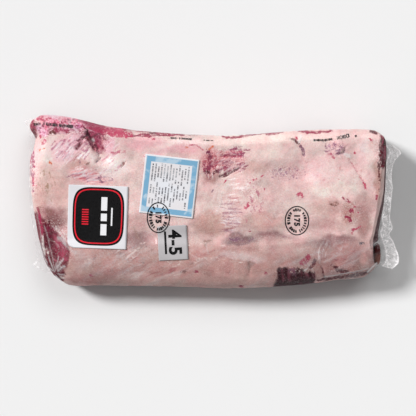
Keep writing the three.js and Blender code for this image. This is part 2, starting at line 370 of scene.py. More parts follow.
# %% Broad tones of the fat cap
GROUND_FAT = "#e8c8c4"
SHADES = {   # fat from milky to shadowed, then where blood shows through it
    "milk": "#ffe4e0", "cream": "#f6ded6", "shell": "#f2d6d0", "blush": "#fcd6d4", "petal": "#ffc4d0",
    "pink": "#eebcc0", "rosy": "#f4a8ac", "oat": "#e8c6c2", "ash": "#dabcba", "sand": "#e0b6b0",
    "tan": "#d6aaa4", "dull": "#caa4a0", "clay": "#ca9c94", "dusty_rose": "#c2948e",
    "mushroom": "#b48884", "dusk": "#a27c7c", "umber": "#966464", "shadow": "#826466",
    "hot_pink": "#f880a0", "lilac": "#e6a8c4", "lavender": "#c470a0", "scar": "#d48690",
    "bruise": "#bc4874", "crimson": "#c82a58", "deep_crimson": "#a41c3c", "maroon": "#840c24",
}
TONES = {   # centre x, centre y, half width, half height, turn in degrees, shade
    "chine_margin": (250, 138, 140, 8, 0, "shell"),
    "chine_cream": (275, 139, 32, 6, -4, "cream"),
    "chine_cream_right": (318, 138, 20, 7, 0, "cream"),
    "rump_top_pink": (56, 118, 30, 5, 2, "petal"),
    "rump_rose": (64, 124, 28, 7, 6, "hot_pink"),
    "rump_lavender": (78, 128, 9, 6, 0, "lavender"),
    "rump_purple": (42, 131, 9, 5, 0, "lilac"),
    "rump_maroon": (33, 132, 4, 6, 0, "maroon"),
    "rump_speckled": (62, 131, 12, 4, 0, "bruise"),
    "rump_pale": (52, 152, 24, 14, 0, "milk"),
    "rump_pink": (72, 146, 24, 12, 30, "petal"),
    "crease_swell": (91, 154, 11, 12, 0, "milk"),
    "crease_shade": (76, 165, 12, 7, 0, "tan"),
    "blind_edge": (35, 165, 6, 30, 0, "blush"),
    "blind_tan": (47, 183, 12, 18, 0, "sand"),
    "blind_tan_low": (41, 200, 7, 14, 0, "tan"),
    "blind_rose": (61, 192, 9, 22, 0, "sand"),
    "above_square": (90, 176, 22, 8, -14, "rosy"),
    "rump_crimson": (93, 126, 11, 9, 30, "deep_crimson"),
    "crimson_band": (116, 129, 22, 5, 12, "crimson"),
    "crimson_foot": (98, 142, 7, 9, -20, "crimson"),
    "beside_crease": (109, 146, 7, 9, 0, "petal"),
    "middle_pale": (116, 166, 18, 14, 0, "milk"),
    "corner_shade": (52, 220, 17, 13, 0, "umber"),
    "chine_rose": (146, 143, 24, 7, 4, "pink"),
    "chine_rose_far": (186, 144, 26, 6, 2, "milk"),
    "above_blue": (172, 151, 30, 5, 6, "pink"),
    "between_labels": (134, 190, 7, 34, 0, "shell"),
    "under_labels": (136, 222, 14, 9, 0, "dull"),
    "right_of_blue": (211, 161, 11, 13, 0, "rosy"),
    "below_red": (212, 178, 10, 8, 0, "mushroom"),
    "mid_left": (206, 200, 10, 16, 0, "oat"),
    "hollow_mauve": (232, 160, 16, 9, 0, "rosy"),
    "hollow_shade": (251, 167, 20, 8, 0, "sand"),
    "back_pale": (232, 191, 16, 12, 0, "oat"),
    "back_mid": (264, 196, 24, 18, 0, "oat"),
    "back_upper": (270, 152, 30, 9, 0, "shell"),
    "grey_band": (288, 173, 20, 7, 3, "ash"),
    "nodule_rose": (336, 149, 10, 8, 0, "blush"),
    "nodule_foot": (331, 157, 6, 5, 0, "scar"),
    "rib_pale": (328, 172, 26, 22, 0, "blush"),
    "rib_cream": (335, 190, 24, 8, 0, "cream"),
    "mouth_pink": (365, 158, 10, 20, 0, "blush"),
    # painted shade on the narrow margin of the mouth end, which faces away from the light
    "mouth_margin": (378, 182, 4, 22, 0, "clay"),
    "mouth_tan": (366, 203, 12, 11, 0, "dull"),
    "rib_tan": (328, 207, 18, 12, 0, "sand"),
    "rib_tan_low": (330, 224, 24, 8, 0, "dull"),
    "mouth_rose": (366, 224, 10, 16, 0, "mushroom"),
    "blot_rose": (350, 214, 10, 12, 0, "clay"),
    "low_middle": (210, 224, 22, 14, 0, "clay"),
    "low_back": (262, 222, 24, 10, 0, "tan"),
    "slope_left": (95, 262, 60, 26, 0, "dusty_rose"),
    "slope_middle": (200, 266, 130, 28, 0, "dusty_rose"),
    "slope_right": (335, 258, 62, 24, 0, "mushroom"),
    "groove_left": (136, 238, 18, 9, 0, "dusk"),
    "groove_middle": (242, 240, 20, 5, -3, "shadow"),
    "groove_back": (274, 236, 24, 6, -2, "dusk"),
    "groove_pink": (248, 247, 14, 4, 0, "mushroom"),
    "groove_right": (332, 241, 26, 6, 3, "dusk"),
    "ridge_left": (243, 257, 24, 5, -6, "ash"),
    "ridge_right": (290, 246, 30, 8, -14, "dull"),
    "swirl_light": (120, 254, 16, 5, -24, "mushroom"),
    "knob_light": (82, 264, 10, 10, -40, "dull"),
    "low_shade_left": (112, 276, 30, 7, 2, "mushroom"),
    "low_shade_rim": (84, 281, 20, 3, 0, "mushroom"),
    "low_shade_mid": (150, 280, 34, 6, 0, "sand"),
    "low_tan": (205, 279, 40, 6, 0, "tan"),
    "low_tan_back": (258, 279, 14, 8, 0, "tan"),
    "low_rose": (350, 269, 24, 5, -6, "dusty_rose"),
    "mouth_corner": (368, 258, 8, 8, 0, "tan"),
}


def oval(px, py, centre_x, centre_y, half_x, half_y, turn):
    """Distance from the middle of a turned oval: 1 on its edge."""
    c, s = math.cos(math.radians(turn)), math.sin(math.radians(turn))
    u, v = px - centre_x, py - centre_y
    return np.hypot((u * c - v * s) / half_x, (u * s + v * c) / half_y)


CLOUD_LIGHT, CLOUD_WARMTH = 0.56, (0.04, -0.46, -0.34)   # how far clouds lighten and how they tint


def ground_tones(px, py):
    wobble_x = px + 9 * (mottle(px, py, 11, 3) - 0.5)
    wobble_y = py + 9 * (mottle(px, py, 11, 5) - 0.5)
    tint = np.tile(linear(GROUND_FAT), (len(px), 1))
    for *where, shade in TONES.values():
        distance = oval(wobble_x, wobble_y, *where)
        cover = 0.92 * (1 - smoothstep(distance, 0.45, 1.3))
        tint = lerp(tint, linear(SHADES[shade]), cover[:, None])
    light = 1 + CLOUD_LIGHT * (mottle(px, py, 13, 7, 5, 0.7) - 0.5)
    warmth = 1 + np.outer(mottle(px, py, 15, 9, 5, 0.75) - 0.5, CLOUD_WARMTH)
    return tint * light[:, None] * warmth


px, py = seen_at(form_points)
print("picture span of the loin:", px.min().round(1), px.max().round(1), py.min().round(1),
      py.max().round(1))

# %% [markdown]
# Over the tones lie the marks that make this very loin: blood in the seams, the dark crease at the
# rump, the fan of stretched fibres below it, purple bruised veins, tan spots and the milky lines
# where the film is pulled tight. Each is a stroke along a few points with a width. The shader later
# breaks up their edges, because blood creeps along the fibres and never has a clean edge.

# %% Blood, creases and spots
STROKES = {   # colour: {name: (path in picture pixels, width in pixels, strength)}
    "#be3f60": {
        "rump_blot": ([(39, 117.5), (42, 116.5)], 3.2, 0.85),
        "rump_line": ([(37, 119), (44, 119.5), (51, 117.5)], 1.8, 0.7),
        "rump_spot": ([(40, 136), (40.5, 137.5)], 1.8, 0.8),
        "rump_drop": ([(42.5, 143.5), (44.5, 140.5)], 3.0, 0.75),
        "rump_fleck": ([(55, 141), (55.4, 141.4)], 1.6, 0.8),
        "blind_fleck_1": ([(30.6, 159.5), (30.8, 161.5)], 1.8, 0.6),
        "blind_fleck_2": ([(30.2, 168.5), (30.6, 170)], 2.2, 0.8),
        "blind_fleck_3": ([(34, 166), (34.4, 167)], 1.5, 0.75),
        "red_band_wash": ([(97, 128), (112, 131), (127, 134)], 7, 0.6),
        "red_band": ([(104, 131.5), (114, 133), (122, 133.5)], 4.2, 0.9),
        "red_band_low": ([(111, 135.5), (117, 136), (121, 135.5)], 2.4, 0.8),
        "red_drip_1": ([(124.5, 134), (126, 136.5)], 3.0, 0.85),
        "red_drip_2": ([(131, 132), (131.5, 136)], 2.4, 0.8),
        "red_row": ([(110.5, 152.5), (114, 153.2), (119, 152), (126, 151.5)], 2.4, 0.5),
        "drop_152": ([(153, 139), (154.5, 138)], 2.4, 0.55),
        "chine_row": ([(190, 145.6), (196, 144.6), (203, 150)], 1.6, 0.6),
        "blue_corner_drop": ([(143.8, 156), (144.4, 156.6)], 2.2, 0.7),
        "hollow_red_1": ([(231, 151.5), (236, 152.6), (242, 151.6)], 1.6, 0.7),
        "hollow_red_2": ([(231, 157), (236, 156.4), (240, 157)], 2.2, 0.7),
        "wedge_tick": ([(224, 182.5), (226, 180.5)], 1.5, 0.7),
        "back_spot_1": ([(249.8, 183), (250.4, 182.4)], 1.6, 0.6),
        "back_spot_2": ([(253, 180.6), (256.5, 179)], 1.8, 0.6),
        "back_spot_3": ([(261, 176.6), (263.6, 175.4)], 1.5, 0.6),
        "back_spot_4": ([(264, 188.4), (264.3, 189.4)], 1.8, 0.5),
        "back_y_left": ([(244, 206.8), (246.5, 208.8), (248.6, 206)], 1.5, 0.75),
        "back_y_up": ([(247.2, 206), (248.4, 202.6)], 1.5, 0.75),
        "back_drop": ([(298, 195), (301, 194), (301.6, 196.6)], 3.4, 0.8),
        "crease_pink": ([(296, 136.5), (297, 139)], 2.2, 0.55),
        "nodule_left": ([(328.5, 154.5), (331.5, 154.5), (334, 158.5)], 2.6, 0.45),
        "rib_dot": ([(354.8, 152.4), (355.2, 152.9)], 2.0, 0.85),
        "corner_dot": ([(371, 139.5), (372, 139.9)], 2.4, 0.95),
        "corner_ray_1": ([(368.6, 138.5), (371, 139.3)], 1.2, 0.6),
        "fold_red_2": ([(364.5, 183), (366.5, 188.5)], 2.2, 0.85),
        "fold_line": ([(349, 159), (355, 168), (361, 177), (364.6, 183)], 1.1, 0.6),
        "fold_red_3": ([(366.5, 189), (369.5, 190.6)], 1.6, 0.5),
        "blot_fleck_1": ([(353, 204.5), (355, 206.6)], 1.7, 0.55),
        "blot_fleck_2": ([(356.5, 209.5), (358.6, 212.6)], 1.7, 0.5),
        "blot_fleck_3": ([(352, 208), (353.5, 213)], 2.0, 0.5),
        "blot_streak_1": ([(352, 229.4), (357, 229.2), (361, 226.6)], 1.8, 0.6),
        "blot_streak_2": ([(352, 233.6), (353.4, 230.4)], 2.0, 0.65),
    },
    "#9c2f4e": {
        "rump_maroon_wash": ([(86, 121), (93, 125), (102, 131)], 8, 0.62),
        "rump_maroon_edge": ([(79, 120), (90, 121.5), (104, 126)], 3.0, 0.6),
        "crease_right": ([(94, 137), (97, 144), (101, 150)], 8, 0.6),
        "crease_fan_left": ([(88, 137), (82, 142), (77, 148)], 5, 0.5),
        "rump_end": ([(30.4, 121), (30.6, 128), (32, 135)], 7.0, 1.0),
        "blind_maroon": ([(31.6, 126), (32.4, 130), (33.6, 136)], 4.6, 0.9),
        "rump_patch_1": ([(55, 128), (57, 131)], 4.0, 0.6),
        "rump_patch_2": ([(62, 130), (70, 132.5)], 3.0, 0.4),
        "dark_stroke_145": ([(140, 134.4), (145, 134.8), (150.5, 136.6)], 2.0, 0.9),
        "blue_side_maroon": ([(203.8, 164), (205.2, 170.4)], 3.0, 0.75),
        "blue_side_vein": ([(208.6, 160), (208.6, 171)], 2.0, 0.6),
        "blue_side_vein_2": ([(215.6, 161), (215.8, 171)], 2.2, 0.55),
        "hollow_dark_1": ([(223.4, 157), (226, 155.4), (229, 154.8)], 1.8, 0.8),
        "hollow_dark_2": ([(232, 155.8), (235, 156.6)], 1.8, 0.75),
        "hollow_blot": ([(224, 169.6), (226.2, 167.6)], 2.6, 0.85),
        "back_dot": ([(249.6, 231), (250, 231.6)], 2.2, 0.85),
        "low_dot_266": ([(265.6, 273.2), (266.4, 273.9)], 3.0, 1.0),
        "low_dot_196": ([(195.4, 271.4), (196.8, 272.2)], 3.0, 0.95),
        "low_dot_90": ([(90.2, 275.8), (91.6, 276.4)], 2.8, 0.6),
        "low_dot_241": ([(240.5, 287), (243, 287.4)], 2.4, 0.85),
        "blot_dark_1": ([(343, 197.6), (347, 202.6)], 1.6, 0.75),
        "blot_dark_2": ([(347.6, 200), (350.2, 202.6)], 1.6, 0.75),
        "blot_dark_3": ([(350.4, 210), (352, 211.6)], 2.4, 0.9),
        "blot_dark_4": ([(346, 217), (348.6, 217.6), (350.4, 221)], 3.0, 0.75),
        "crimson_306": ([(302, 263), (305, 261.4), (308.4, 257.4)], 5.0, 1.0),
        "margin_379": ([(378.8, 196), (379.4, 198.6)], 2.2, 0.8),
        "chine_thread_1": ([(118, 126.2), (131, 129), (141, 130.4)], 1.5, 0.9),
        "chine_thread_2": ([(141, 130.8), (155, 132), (166, 133)], 1.7, 0.9),
        "chine_thread_3": ([(162, 133), (170, 134), (177, 134.2)], 2.6, 1.0),
        "chine_thread_4": ([(222.4, 135.6), (226, 137), (236, 137.2), (250, 134.4), (262, 132.6)], 2.0, 0.95),
        "chine_thread_5": ([(262, 132.8), (270, 132), (282, 131)], 1.9, 0.9),
        "chine_thread_6": ([(266, 134), (273, 133.4), (278, 132.8)], 2.0, 0.85),
        "chine_thread_7": ([(299, 129.8), (308, 131.2)], 2.4, 0.9),
        "chine_thread_8": ([(307, 132), (314, 132), (320, 131.6)], 2.4, 0.95),
        "chine_thread_9": ([(320, 132), (324, 131.4), (331, 130.6)], 2.0, 0.9),
        "corner_maroon": ([(382, 135.6), (384, 138), (383.6, 143)], 2.4, 0.8),
        "margin_maroon": ([(385.6, 147), (385.2, 158), (384.2, 167)], 2.2, 0.85),
        "lean_edge_red": ([(37, 208), (40, 222), (41.6, 236)], 2.2, 0.8),
        "lean_wash": ([(50, 232), (58, 244), (64, 256)], 13, 0.5),
        "square_foot_line": ([(80, 246.8), (84.6, 246.8)], 1.4, 0.7),
        "corner_drop_low": ([(60, 279.6), (64, 279)], 2.0, 0.6),
    },
    "#5a1626": {
        "rump_dark_1": ([(33, 130.5), (35, 137)], 2.8, 0.95),
        "rump_dark_2": ([(54.6, 132.6), (55.2, 134)], 2.0, 0.75),
        "fan_dark": ([(77, 148.4), (80.6, 143.6)], 2.6, 1.0),
        "fan_dark_2": ([(76, 141.4), (79.4, 139.6)], 1.6, 0.6),
        "wedge": ([(220.6, 176.4), (224, 175.6), (229, 173.4)], 2.5, 1.0),
        "wedge_tip": ([(228, 174), (233, 171.2), (238.4, 168.4)], 1.3, 0.95),
        "foot_dark_1": ([(207, 171.6), (210, 173)], 2.2, 0.85),
        "foot_dark_2": ([(214, 173), (216.4, 170.4)], 2.2, 0.85),
        "foot_dark_3": ([(217, 171.6), (221, 173.4)], 1.2, 0.6),
        "crease_292": ([(292.6, 138.2), (295, 140), (297.4, 142)], 2.2, 1.0),
        "crease_303": ([(296.6, 141.2), (301, 147)], 1.6, 1.0),
        "corner_black": ([(371, 130.6), (376, 132.4)], 3.0, 1.0),
        "margin_black": ([(382.8, 147), (382.4, 155), (383.4, 164)], 3.6, 1.0),
        "lean_dark_1": ([(43.8, 220), (45.4, 230)], 3.0, 0.55),
        "lean_dark_2": ([(45, 234), (46, 243), (48, 248)], 4.6, 0.95),
        "lean_dark_3": ([(39.8, 243), (40.4, 250), (42.6, 256)], 2.0, 0.9),
        "lean_dark_4": ([(52, 240), (54, 246)], 4.0, 0.6),
        "lean_dark_5": ([(46, 263), (49, 266.6)], 4.2, 0.95),
        "lean_dark_6": ([(45.6, 257.6), (49.6, 258)], 2.6, 0.85),
        "lean_dark_7": ([(52, 250), (56, 258), (60, 262)], 2.2, 0.7),
        "lean_dark_8": ([(50, 271.6), (54, 277), (58, 281)], 2.6, 0.8),
        "pleat_dark_1": ([(56, 273.4), (62, 280)], 2.0, 0.9),
        "pleat_dark_2": ([(57, 272), (66, 274.4)], 1.6, 0.85),
        "pleat_dark_3": ([(56, 270.6), (60, 269)], 1.4, 0.7),
        "low_edge_line": ([(318, 280.8), (335, 278.6), (350, 276.8)], 2.2, 1.0),
        "low_edge_line_2": ([(346, 277.4), (361, 275), (368, 272.4)], 3.2, 1.0),
        "low_dark_336": ([(335.4, 268), (339, 271.2), (347, 273)], 3.2, 0.95),
        "low_dark_line": ([(337, 275.8), (350, 273.6), (361, 271.4)], 1.2, 0.65),
        "low_dark_322": ([(321.6, 267), (323, 273), (325, 278.6)], 1.8, 0.6),
        "low_dark_314": ([(315, 260.6), (311.4, 267.6)], 3.4, 0.95),
    },
    "#36101a": {
        "patch_1": ([(279, 270), (281, 284)], 3.4, 0.8),
        "patch_2": ([(285, 269), (287, 283)], 3.6, 0.9),
        "patch_3": ([(292, 277), (294, 283)], 4.0, 0.85),
        "patch_4": ([(298, 272), (299, 283)], 3.0, 0.85),
        "patch_5": ([(303, 276), (305, 282)], 3.0, 0.8),
        "patch_6": ([(310, 275), (312, 280)], 3.4, 0.9),
        "patch_foot": ([(277, 285), (292, 284), (306, 281.4)], 2.6, 0.9),
    },
    # near-black down the rump crease: dark lean with painted shade in the crease's bottom
    "#260b12": {
        "crease_line": ([(84.6, 127), (87, 133.6), (91.6, 140)], 1.5, 1.0),
        "crease_mid": ([(91, 139.4), (93.8, 143.4), (97.4, 149)], 1.4, 0.9),
        "crease_tail": ([(96.4, 149.6), (98.2, 152.6), (99.4, 155.6)], 1.0, 0.6),
        "crease_left": ([(88, 134), (85, 136.4), (83.4, 138)], 1.7, 0.85),
        "crease_right_line": ([(92, 137), (96, 135), (99.4, 133.4)], 1.4, 0.7),
    },
    "#5e2c20": {
        "crease_brown": ([(83, 137), (87, 139), (91, 139.4)], 2.2, 0.5),
        "rump_brown": ([(50, 129), (51.6, 132.4)], 4.4, 0.6),
        "tan_spot_core": ([(332, 205), (335.6, 205.6)], 2.4, 0.6),
    },
    "#8a6258": {
        "blind_shadow": ([(40, 208), (50, 212)], 6, 0.4),
        "swell_stroke": ([(86.6, 164.6), (89, 163.2)], 1.8, 0.65),
        "stroke_123": ([(121.8, 166.6), (124, 162.4)], 2.4, 0.65),
        "tan_spot": ([(331, 203), (337, 202.6)], 5.0, 0.45),
    },
    "#80586c": {
        "mauve_stroke_100": ([(98.8, 178), (101.8, 182)], 2.2, 0.85),
        "mauve_80": ([(80, 160.6), (80.2, 164)], 1.6, 0.55),
        "mauve_98": ([(96.8, 162), (100, 160), (101.4, 157)], 1.2, 0.6),
        "grey_core_1": ([(230, 238.6), (236.6, 240.2)], 3.2, 0.6),
        "grey_core_2": ([(237, 238), (243, 240)], 3.0, 0.45),
        "grey_core_3": ([(249.4, 240.6), (253.4, 237.6)], 2.6, 0.5),
        "grey_283": ([(280, 238), (285, 236.4)], 2.6, 0.3),
        "crease_foot": ([(300.6, 146.6), (303.8, 151), (304.2, 155)], 2.6, 0.8),
        # the mauve on the nodule's right and lower side is painted shade, away from the light
        "nodule_shade": ([(335, 146), (341, 149)], 8.0, 0.3),
        "nodule_top_shade": ([(340, 145.6), (343.6, 143)], 1.8, 0.35),
        "nodule_side_shade": ([(343.6, 148), (344.6, 151.6)], 2.6, 0.35),
        "nodule_foot": ([(338, 153.8), (343.6, 153.2)], 1.8, 0.35),
        "stroke_326": ([(325.4, 144), (325.8, 149.6)], 2.0, 0.4),
        "stroke_324": ([(322.6, 150.8), (327, 151.2)], 1.4, 0.35),
        "stroke_212": ([(211.8, 192), (213.2, 190)], 1.8, 0.45),
        "low_patch_mauve": ([(291, 270), (294, 274)], 5.0, 0.5),
        "edge_mauve": ([(29.8, 166), (29.6, 174)], 1.4, 0.5),
    },
    "#4c4a55": {
        "grey_dot": ([(361.6, 243.6), (366, 243.4)], 3.0, 0.75),
    },
    "#d9693f": {
        "orange_dot": ([(49.6, 162.4), (50.6, 163)], 2.2, 1.0),
        "orange_187": ([(186, 147), (188, 147.4)], 2.2, 0.5),
        "orange_211": ([(208.4, 149.4), (213, 146.4)], 2.2, 0.5),
        "orange_373": ([(372, 143), (376, 144.6)], 1.2, 0.45),
        "blind_line": ([(39, 149.6), (45, 148.2)], 1.3, 0.5),
        "blind_line_2": ([(39.4, 149), (38.4, 152)], 1.2, 0.45),
    },
    "#e8627c": {
        "blind_rosy_1": ([(32.4, 178.6), (32.6, 182)], 2.0, 0.55),
        "blind_rosy_2": ([(32, 185), (36, 185.6)], 1.8, 0.4),
    },
    "#fdf3ee": {
        "lean_seam": ([(41.6, 236), (42.6, 246), (44.6, 255)], 1.5, 0.5),
        "lean_seam_low": ([(46, 250), (48, 254)], 2.2, 0.45),
        # a painted highlight on the nodule
        "nodule_highlight": ([(345.6, 155), (349.4, 156)], 3.4, 0.5),
        "pleat_white_1": ([(57, 266), (60, 262.6)], 1.8, 0.4),
        "pleat_white_2": ([(60, 267), (64, 268)], 1.8, 0.4),
        "pleat_white_3": ([(60, 277), (64, 278.4)], 1.8, 0.5),
        "stroke_white_307": ([(304, 271), (307, 269.4)], 1.4, 0.5),
    },
}


SCATTERED = {   # middle x, y, half width, half height, turn, how many, length and width in px,
    # direction and its spread in degrees, colour, strength
    "rump_specks": (64, 126, 34, 8, 4, 110, 1.4, 1.3, 30, 60, "#8f2848", 0.75),
    "rump_lights": (66, 125, 34, 8, 4, 60, 1.6, 1.2, 30, 60, "#f6d0da", 0.7),
    "crimson_specks": (108, 129, 26, 6, 12, 60, 2.0, 1.3, 30, 50, "#7c1c3c", 0.75),
    "crimson_lights": (110, 129, 28, 6, 12, 44, 2.0, 1.2, 20, 40, "#e590a8", 0.45),
    "crease_specks": (97, 141, 8, 10, -20, 34, 1.8, 1.4, 60, 40, "#4a1022", 0.8),
    "crease_lights": (98, 142, 8, 10, -20, 24, 1.6, 1.1, 60, 40, "#dc8aa2", 0.45),
    "fan_rose": (72, 148, 20, 13, 0, 60, 9.0, 0.9, -50, 5, "#c07890", 0.6),
    "fan_white": (70, 150, 20, 13, 0, 60, 9.0, 0.8, -50, 5, "#fff4f4", 0.38),
    "beside_rose": (110, 158, 15, 15, 0, 40, 9.0, 0.9, -40, 7, "#dc9caa", 0.45),
    "beside_white": (108, 158, 15, 15, 0, 34, 9.0, 0.8, -40, 7, "#fff4f4", 0.35),
    "square_top_rose": (90, 177, 22, 6, -14, 34, 12.0, 0.9, -16, 7, "#a86c84", 0.55),
    "square_top_white": (90, 175, 24, 8, -14, 30, 12.0, 0.8, -16, 7, "#fdeeee", 0.45),
    "blue_side_hairs": (209, 164, 6, 14, 0, 34, 5.0, 1.1, 86, 10, "#7c2c4c", 0.7),
    "hollow_top_hairs": (236, 152.5, 13, 6, 0, 34, 7.0, 1.0, -3, 8, "#9c4a68", 0.65),
    "hollow_red": (219, 160, 16, 10, 0, 60, 3.0, 1.4, -30, 50, "#b8505e", 0.4),
    "hollow_hairs": (231, 166, 17, 7, 0, 40, 7.0, 1.0, -24, 10, "#8c3c58", 0.65),
    "hollow_lights": (230, 161, 22, 12, 0, 50, 6.0, 0.9, -18, 22, "#f2cfd2", 0.4),
    "back_white": (238, 190, 14, 13, 0, 34, 10.0, 0.8, -4, 12, "#fff2f0", 0.4),
    "rungs_white": (230, 218, 10, 15, 0, 50, 9.0, 0.8, 4, 6, "#fdeeec", 0.4),
    "rungs_rose": (230, 218, 11, 16, 0, 56, 9.0, 0.8, 4, 6, "#b07c88", 0.5),
    "back_rose": (252, 204, 11, 22, 0, 34, 5.0, 1.0, 72, 14, "#c27f8c", 0.5),
    "grey_band_specks": (288, 174, 19, 7, 3, 90, 1.2, 1.1, 0, 90, "#a07488", 0.4),
    "nodule_specks": (336, 150, 10, 8, 0, 80, 1.4, 1.1, 0, 90, "#a8688c", 0.3),
    "blot_specks": (352, 210, 8, 12, 24, 16, 2.4, 1.2, 52, 20, "#8c2c46", 0.5),
    "tan_lines": (45, 186, 10, 18, 0, 26, 6.0, 1.1, 76, 14, "#b08c78", 0.5),
    "blind_specks": (31.5, 165, 2, 30, 0, 30, 3.0, 1.3, 88, 10, "#a8406a", 0.7),
    "chine_threads": (176, 133.4, 60, 1.4, 2, 50, 7.0, 1.2, 3, 4, "#8c2a48", 0.7),
    "mouth_threads": (381, 165, 2, 26, 0, 34, 5.0, 1.3, 86, 8, "#5c2c30", 0.6),
    "patch_streaks": (296, 277.5, 19, 7, 0, 60, 6.0, 1.2, 84, 8, "#26080f", 0.8),
    "patch_rose": (297, 276, 19, 7, 0, 50, 5.0, 1.1, 84, 12, "#8f505e", 0.5),
    "lean_streaks": (45.5, 240, 4, 22, -12, 40, 6.0, 1.5, 74, 10, "#48091c", 0.85),
    "lean_rose": (58, 248, 9, 16, 0, 30, 4.0, 1.3, 60, 30, "#b46472", 0.55),
    "low_strokes": (165, 262, 84, 16, 0, 70, 7.0, 1.4, -18, 16, "#8c6a68", 0.4),
    "low_lights": (165, 258, 84, 18, 0, 60, 8.0, 1.4, -18, 16, "#efd9d2", 0.4),
    "right_rose": (332, 176, 44, 24, 0, 44, 6.0, 1.0, 40, 30, "#dc9c9c", 0.4),
    "low_right": (345, 262, 26, 12, 0, 30, 5.0, 1.3, -12, 14, "#7c4a54", 0.35),
}


WALL_STEP, WALL_WANDER = 0.35, 0.06   # px of noise and of wander for each mm down a wall


def scattered(zones, seed):
    """Short strokes strewn over each zone, as (path, width, strength, colour), from a fixed seed."""
    draw = np.random.default_rng(seed)
    for zone in zones.values():
        x, y, half_x, half_y, turn, count, length, width, direction, spread, colour, strength = zone
        c, s = math.cos(math.radians(turn)), math.sin(math.radians(turn))
        for _ in range(count):
            away, round_it = draw.uniform() ** 0.6, draw.uniform(0, 2 * math.pi)
            u, v = half_x * away * math.cos(round_it), half_y * away * math.sin(round_it)
            at = np.array([x + u * c + v * s, y - u * s + v * c])
            heading = math.radians(direction + draw.uniform(-spread, spread))
            half = 0.5 * length * draw.uniform(0.5, 1.3) * np.array([math.cos(heading), math.sin(heading)])
            bend = np.array([-half[1], half[0]]) * draw.uniform(-0.2, 0.2)
            yield ([at - half, at + bend, at + half], width * draw.uniform(0.7, 1.3),
                   strength * draw.uniform(0.6, 1.1), colour)


def stroke_covers(px, py, drop):
    """Colour and cover of all the strokes at each picture place, each laid over the last."""
    wobble = 1.1 + WALL_WANDER * drop
    wx = px + wobble * (mottle(px, py + WALL_STEP * drop, 2.6, 11, 2) - 0.5)
    wy = py + wobble * (mottle(px, py + WALL_STEP * drop, 2.6, 23, 2) - 0.5)
    colour, cover = np.tile(linear("#9c2f4e"), (len(px), 1)), np.zeros(len(px))
    named = [(*stroke, hex_colour) for hex_colour, strokes in STROKES.items() for stroke in strokes.values()]
    for path, width, strength, hex_colour in [*scattered(SCATTERED, 5), *named]:
        (x_low, y_low), (x_high, y_high) = np.min(path, 0) - width - 1, np.max(path, 0) + width + 1
        near = np.flatnonzero((wx > x_low) & (wx < x_high) & (wy > y_low) & (wy < y_high))
        distance = far_from_path(wx[near], wy[near], path)
        here = strength * (1 - smoothstep(distance, 0.25 * width, 0.78 * width + 0.3))
        share = here / np.maximum(here + cover[near] * (1 - here), 1e-6)
        colour[near] = lerp(colour[near], linear(hex_colour), share[:, None])
        cover[near] = here + cover[near] * (1 - here)
    return colour, cover


print("strokes:", sum(len(s) for s in STROKES.values()), "tones:", len(TONES))

# %% [markdown]
# Where a knife has opened the loin, dark lean shows: the low corner at the blind end, the patch at
# the foot of the flank, the cut faces at both ends and the whole underside. A mask from 0, fat, to
# 1, lean, says which is which, so that one material can carry both. On the walls its border runs at
# a level that differs from side to side and wanders as a real fat seam does.

# %% Where lean shows
LEAN_OPENINGS = {   # picture pixels, round the opening
    "blind_corner": [(34, 211), (41, 218), (52, 228), (60, 235), (66, 244), (70, 254), (68, 264),
                     (65, 272), (64, 280), (56, 292), (36, 280), (30, 240)],
    "flank_patch": [(276.5, 269), (279, 266.4), (282, 268.6), (285, 266.8), (288, 268), (289.6, 273.4),
                    (294, 274.6), (297, 270.6), (299.6, 273.6), (303, 270), (306, 274), (310, 272),
                    (315, 276), (315, 290), (275, 290)],
    "chine_crease": [(82, 117), (100, 121), (104, 128), (100, 134), (101, 148), (95, 147), (87, 138),
                     (86, 128)],
    "mouth_corner": [(381, 136), (388, 136), (389, 168), (384.4, 168), (381, 156)],
}
LEAN_TONES = {"blind_corner": "#76303b", "flank_patch": "#4a1f2b", "chine_crease": "#9d4a64",
              "mouth_corner": "#4e2524"}
FOLD_PAINTED_SHADES = {   # painted shade where the film is folded double: round it in picture pixels, colour
    "wedge_250": ([(247.4, 261.6), (256.4, 262.4), (251, 268), (248.4, 276)], "#8f716b"),
    "triangle_207": ([(203, 239.6), (213, 240), (207, 243), (204.6, 249)], "#a07f76"),
    "stroke_137": ([(133, 226), (137, 232), (141, 240), (136, 238)], "#ab8881"),
}
WALL_FAT, WALL_ROSE = "#dcb4ae", "#c8868c"
RIM_PAINTED_LIGHT, PALEST = 0.35, 0.93   # painted light: the chine wall's tint is lifted near the rim against its shade, at most to the palest
# the last of these is painted shade: the dark grey-brown of the mouth end's lower wall, in the shadow of the
# gap under the bag's mouth
LEAN_RED, SILVERSKIN, MOUTH_WALL_SHADE = "#7c3138", "#c9a5a2", "#4c363a"
WALL_TOP = 64   # mm: below it the edges of what is seen from above start to wander
LEAN_STARTS = {"chine": -0.04, "mouth": 0.5, "blind": -0.02, "flank": -0.12}   # level


def inside(px, py, corners, soft):
    """1 inside a polygon, 0 outside, with an edge about soft wide."""
    within = np.zeros(len(px), bool)
    edge = np.full(len(px), 1e9)
    for (x0, y0), (x1, y1) in zip(corners, corners[1:] + corners[:1]):
        crosses = (y0 > py) != (y1 > py)
        within ^= crosses & (px < (x1 - x0) * (py - y0) / ((y1 - y0) or 1e-9) + x0)
        edge = np.minimum(edge, far_from(px, py, (x0, y0), (x1, y1)))
    return smoothstep(np.where(within, edge, -edge), -soft, soft)


def side_values(where, values):
    """Blends one value for each of the four sides over the skin."""
    along, across = where["along"], where["across"]
    end = smoothstep(np.abs(along), 0.93, 1.0) * (1 - smoothstep(np.abs(across), 0.96, 1.0) * 0.5)
    ends = np.where(along < 0, values["blind"], values["mouth"])
    sides = np.where(across < 0, values["flank"], values["chine"])
    return lerp(sides, ends, end)


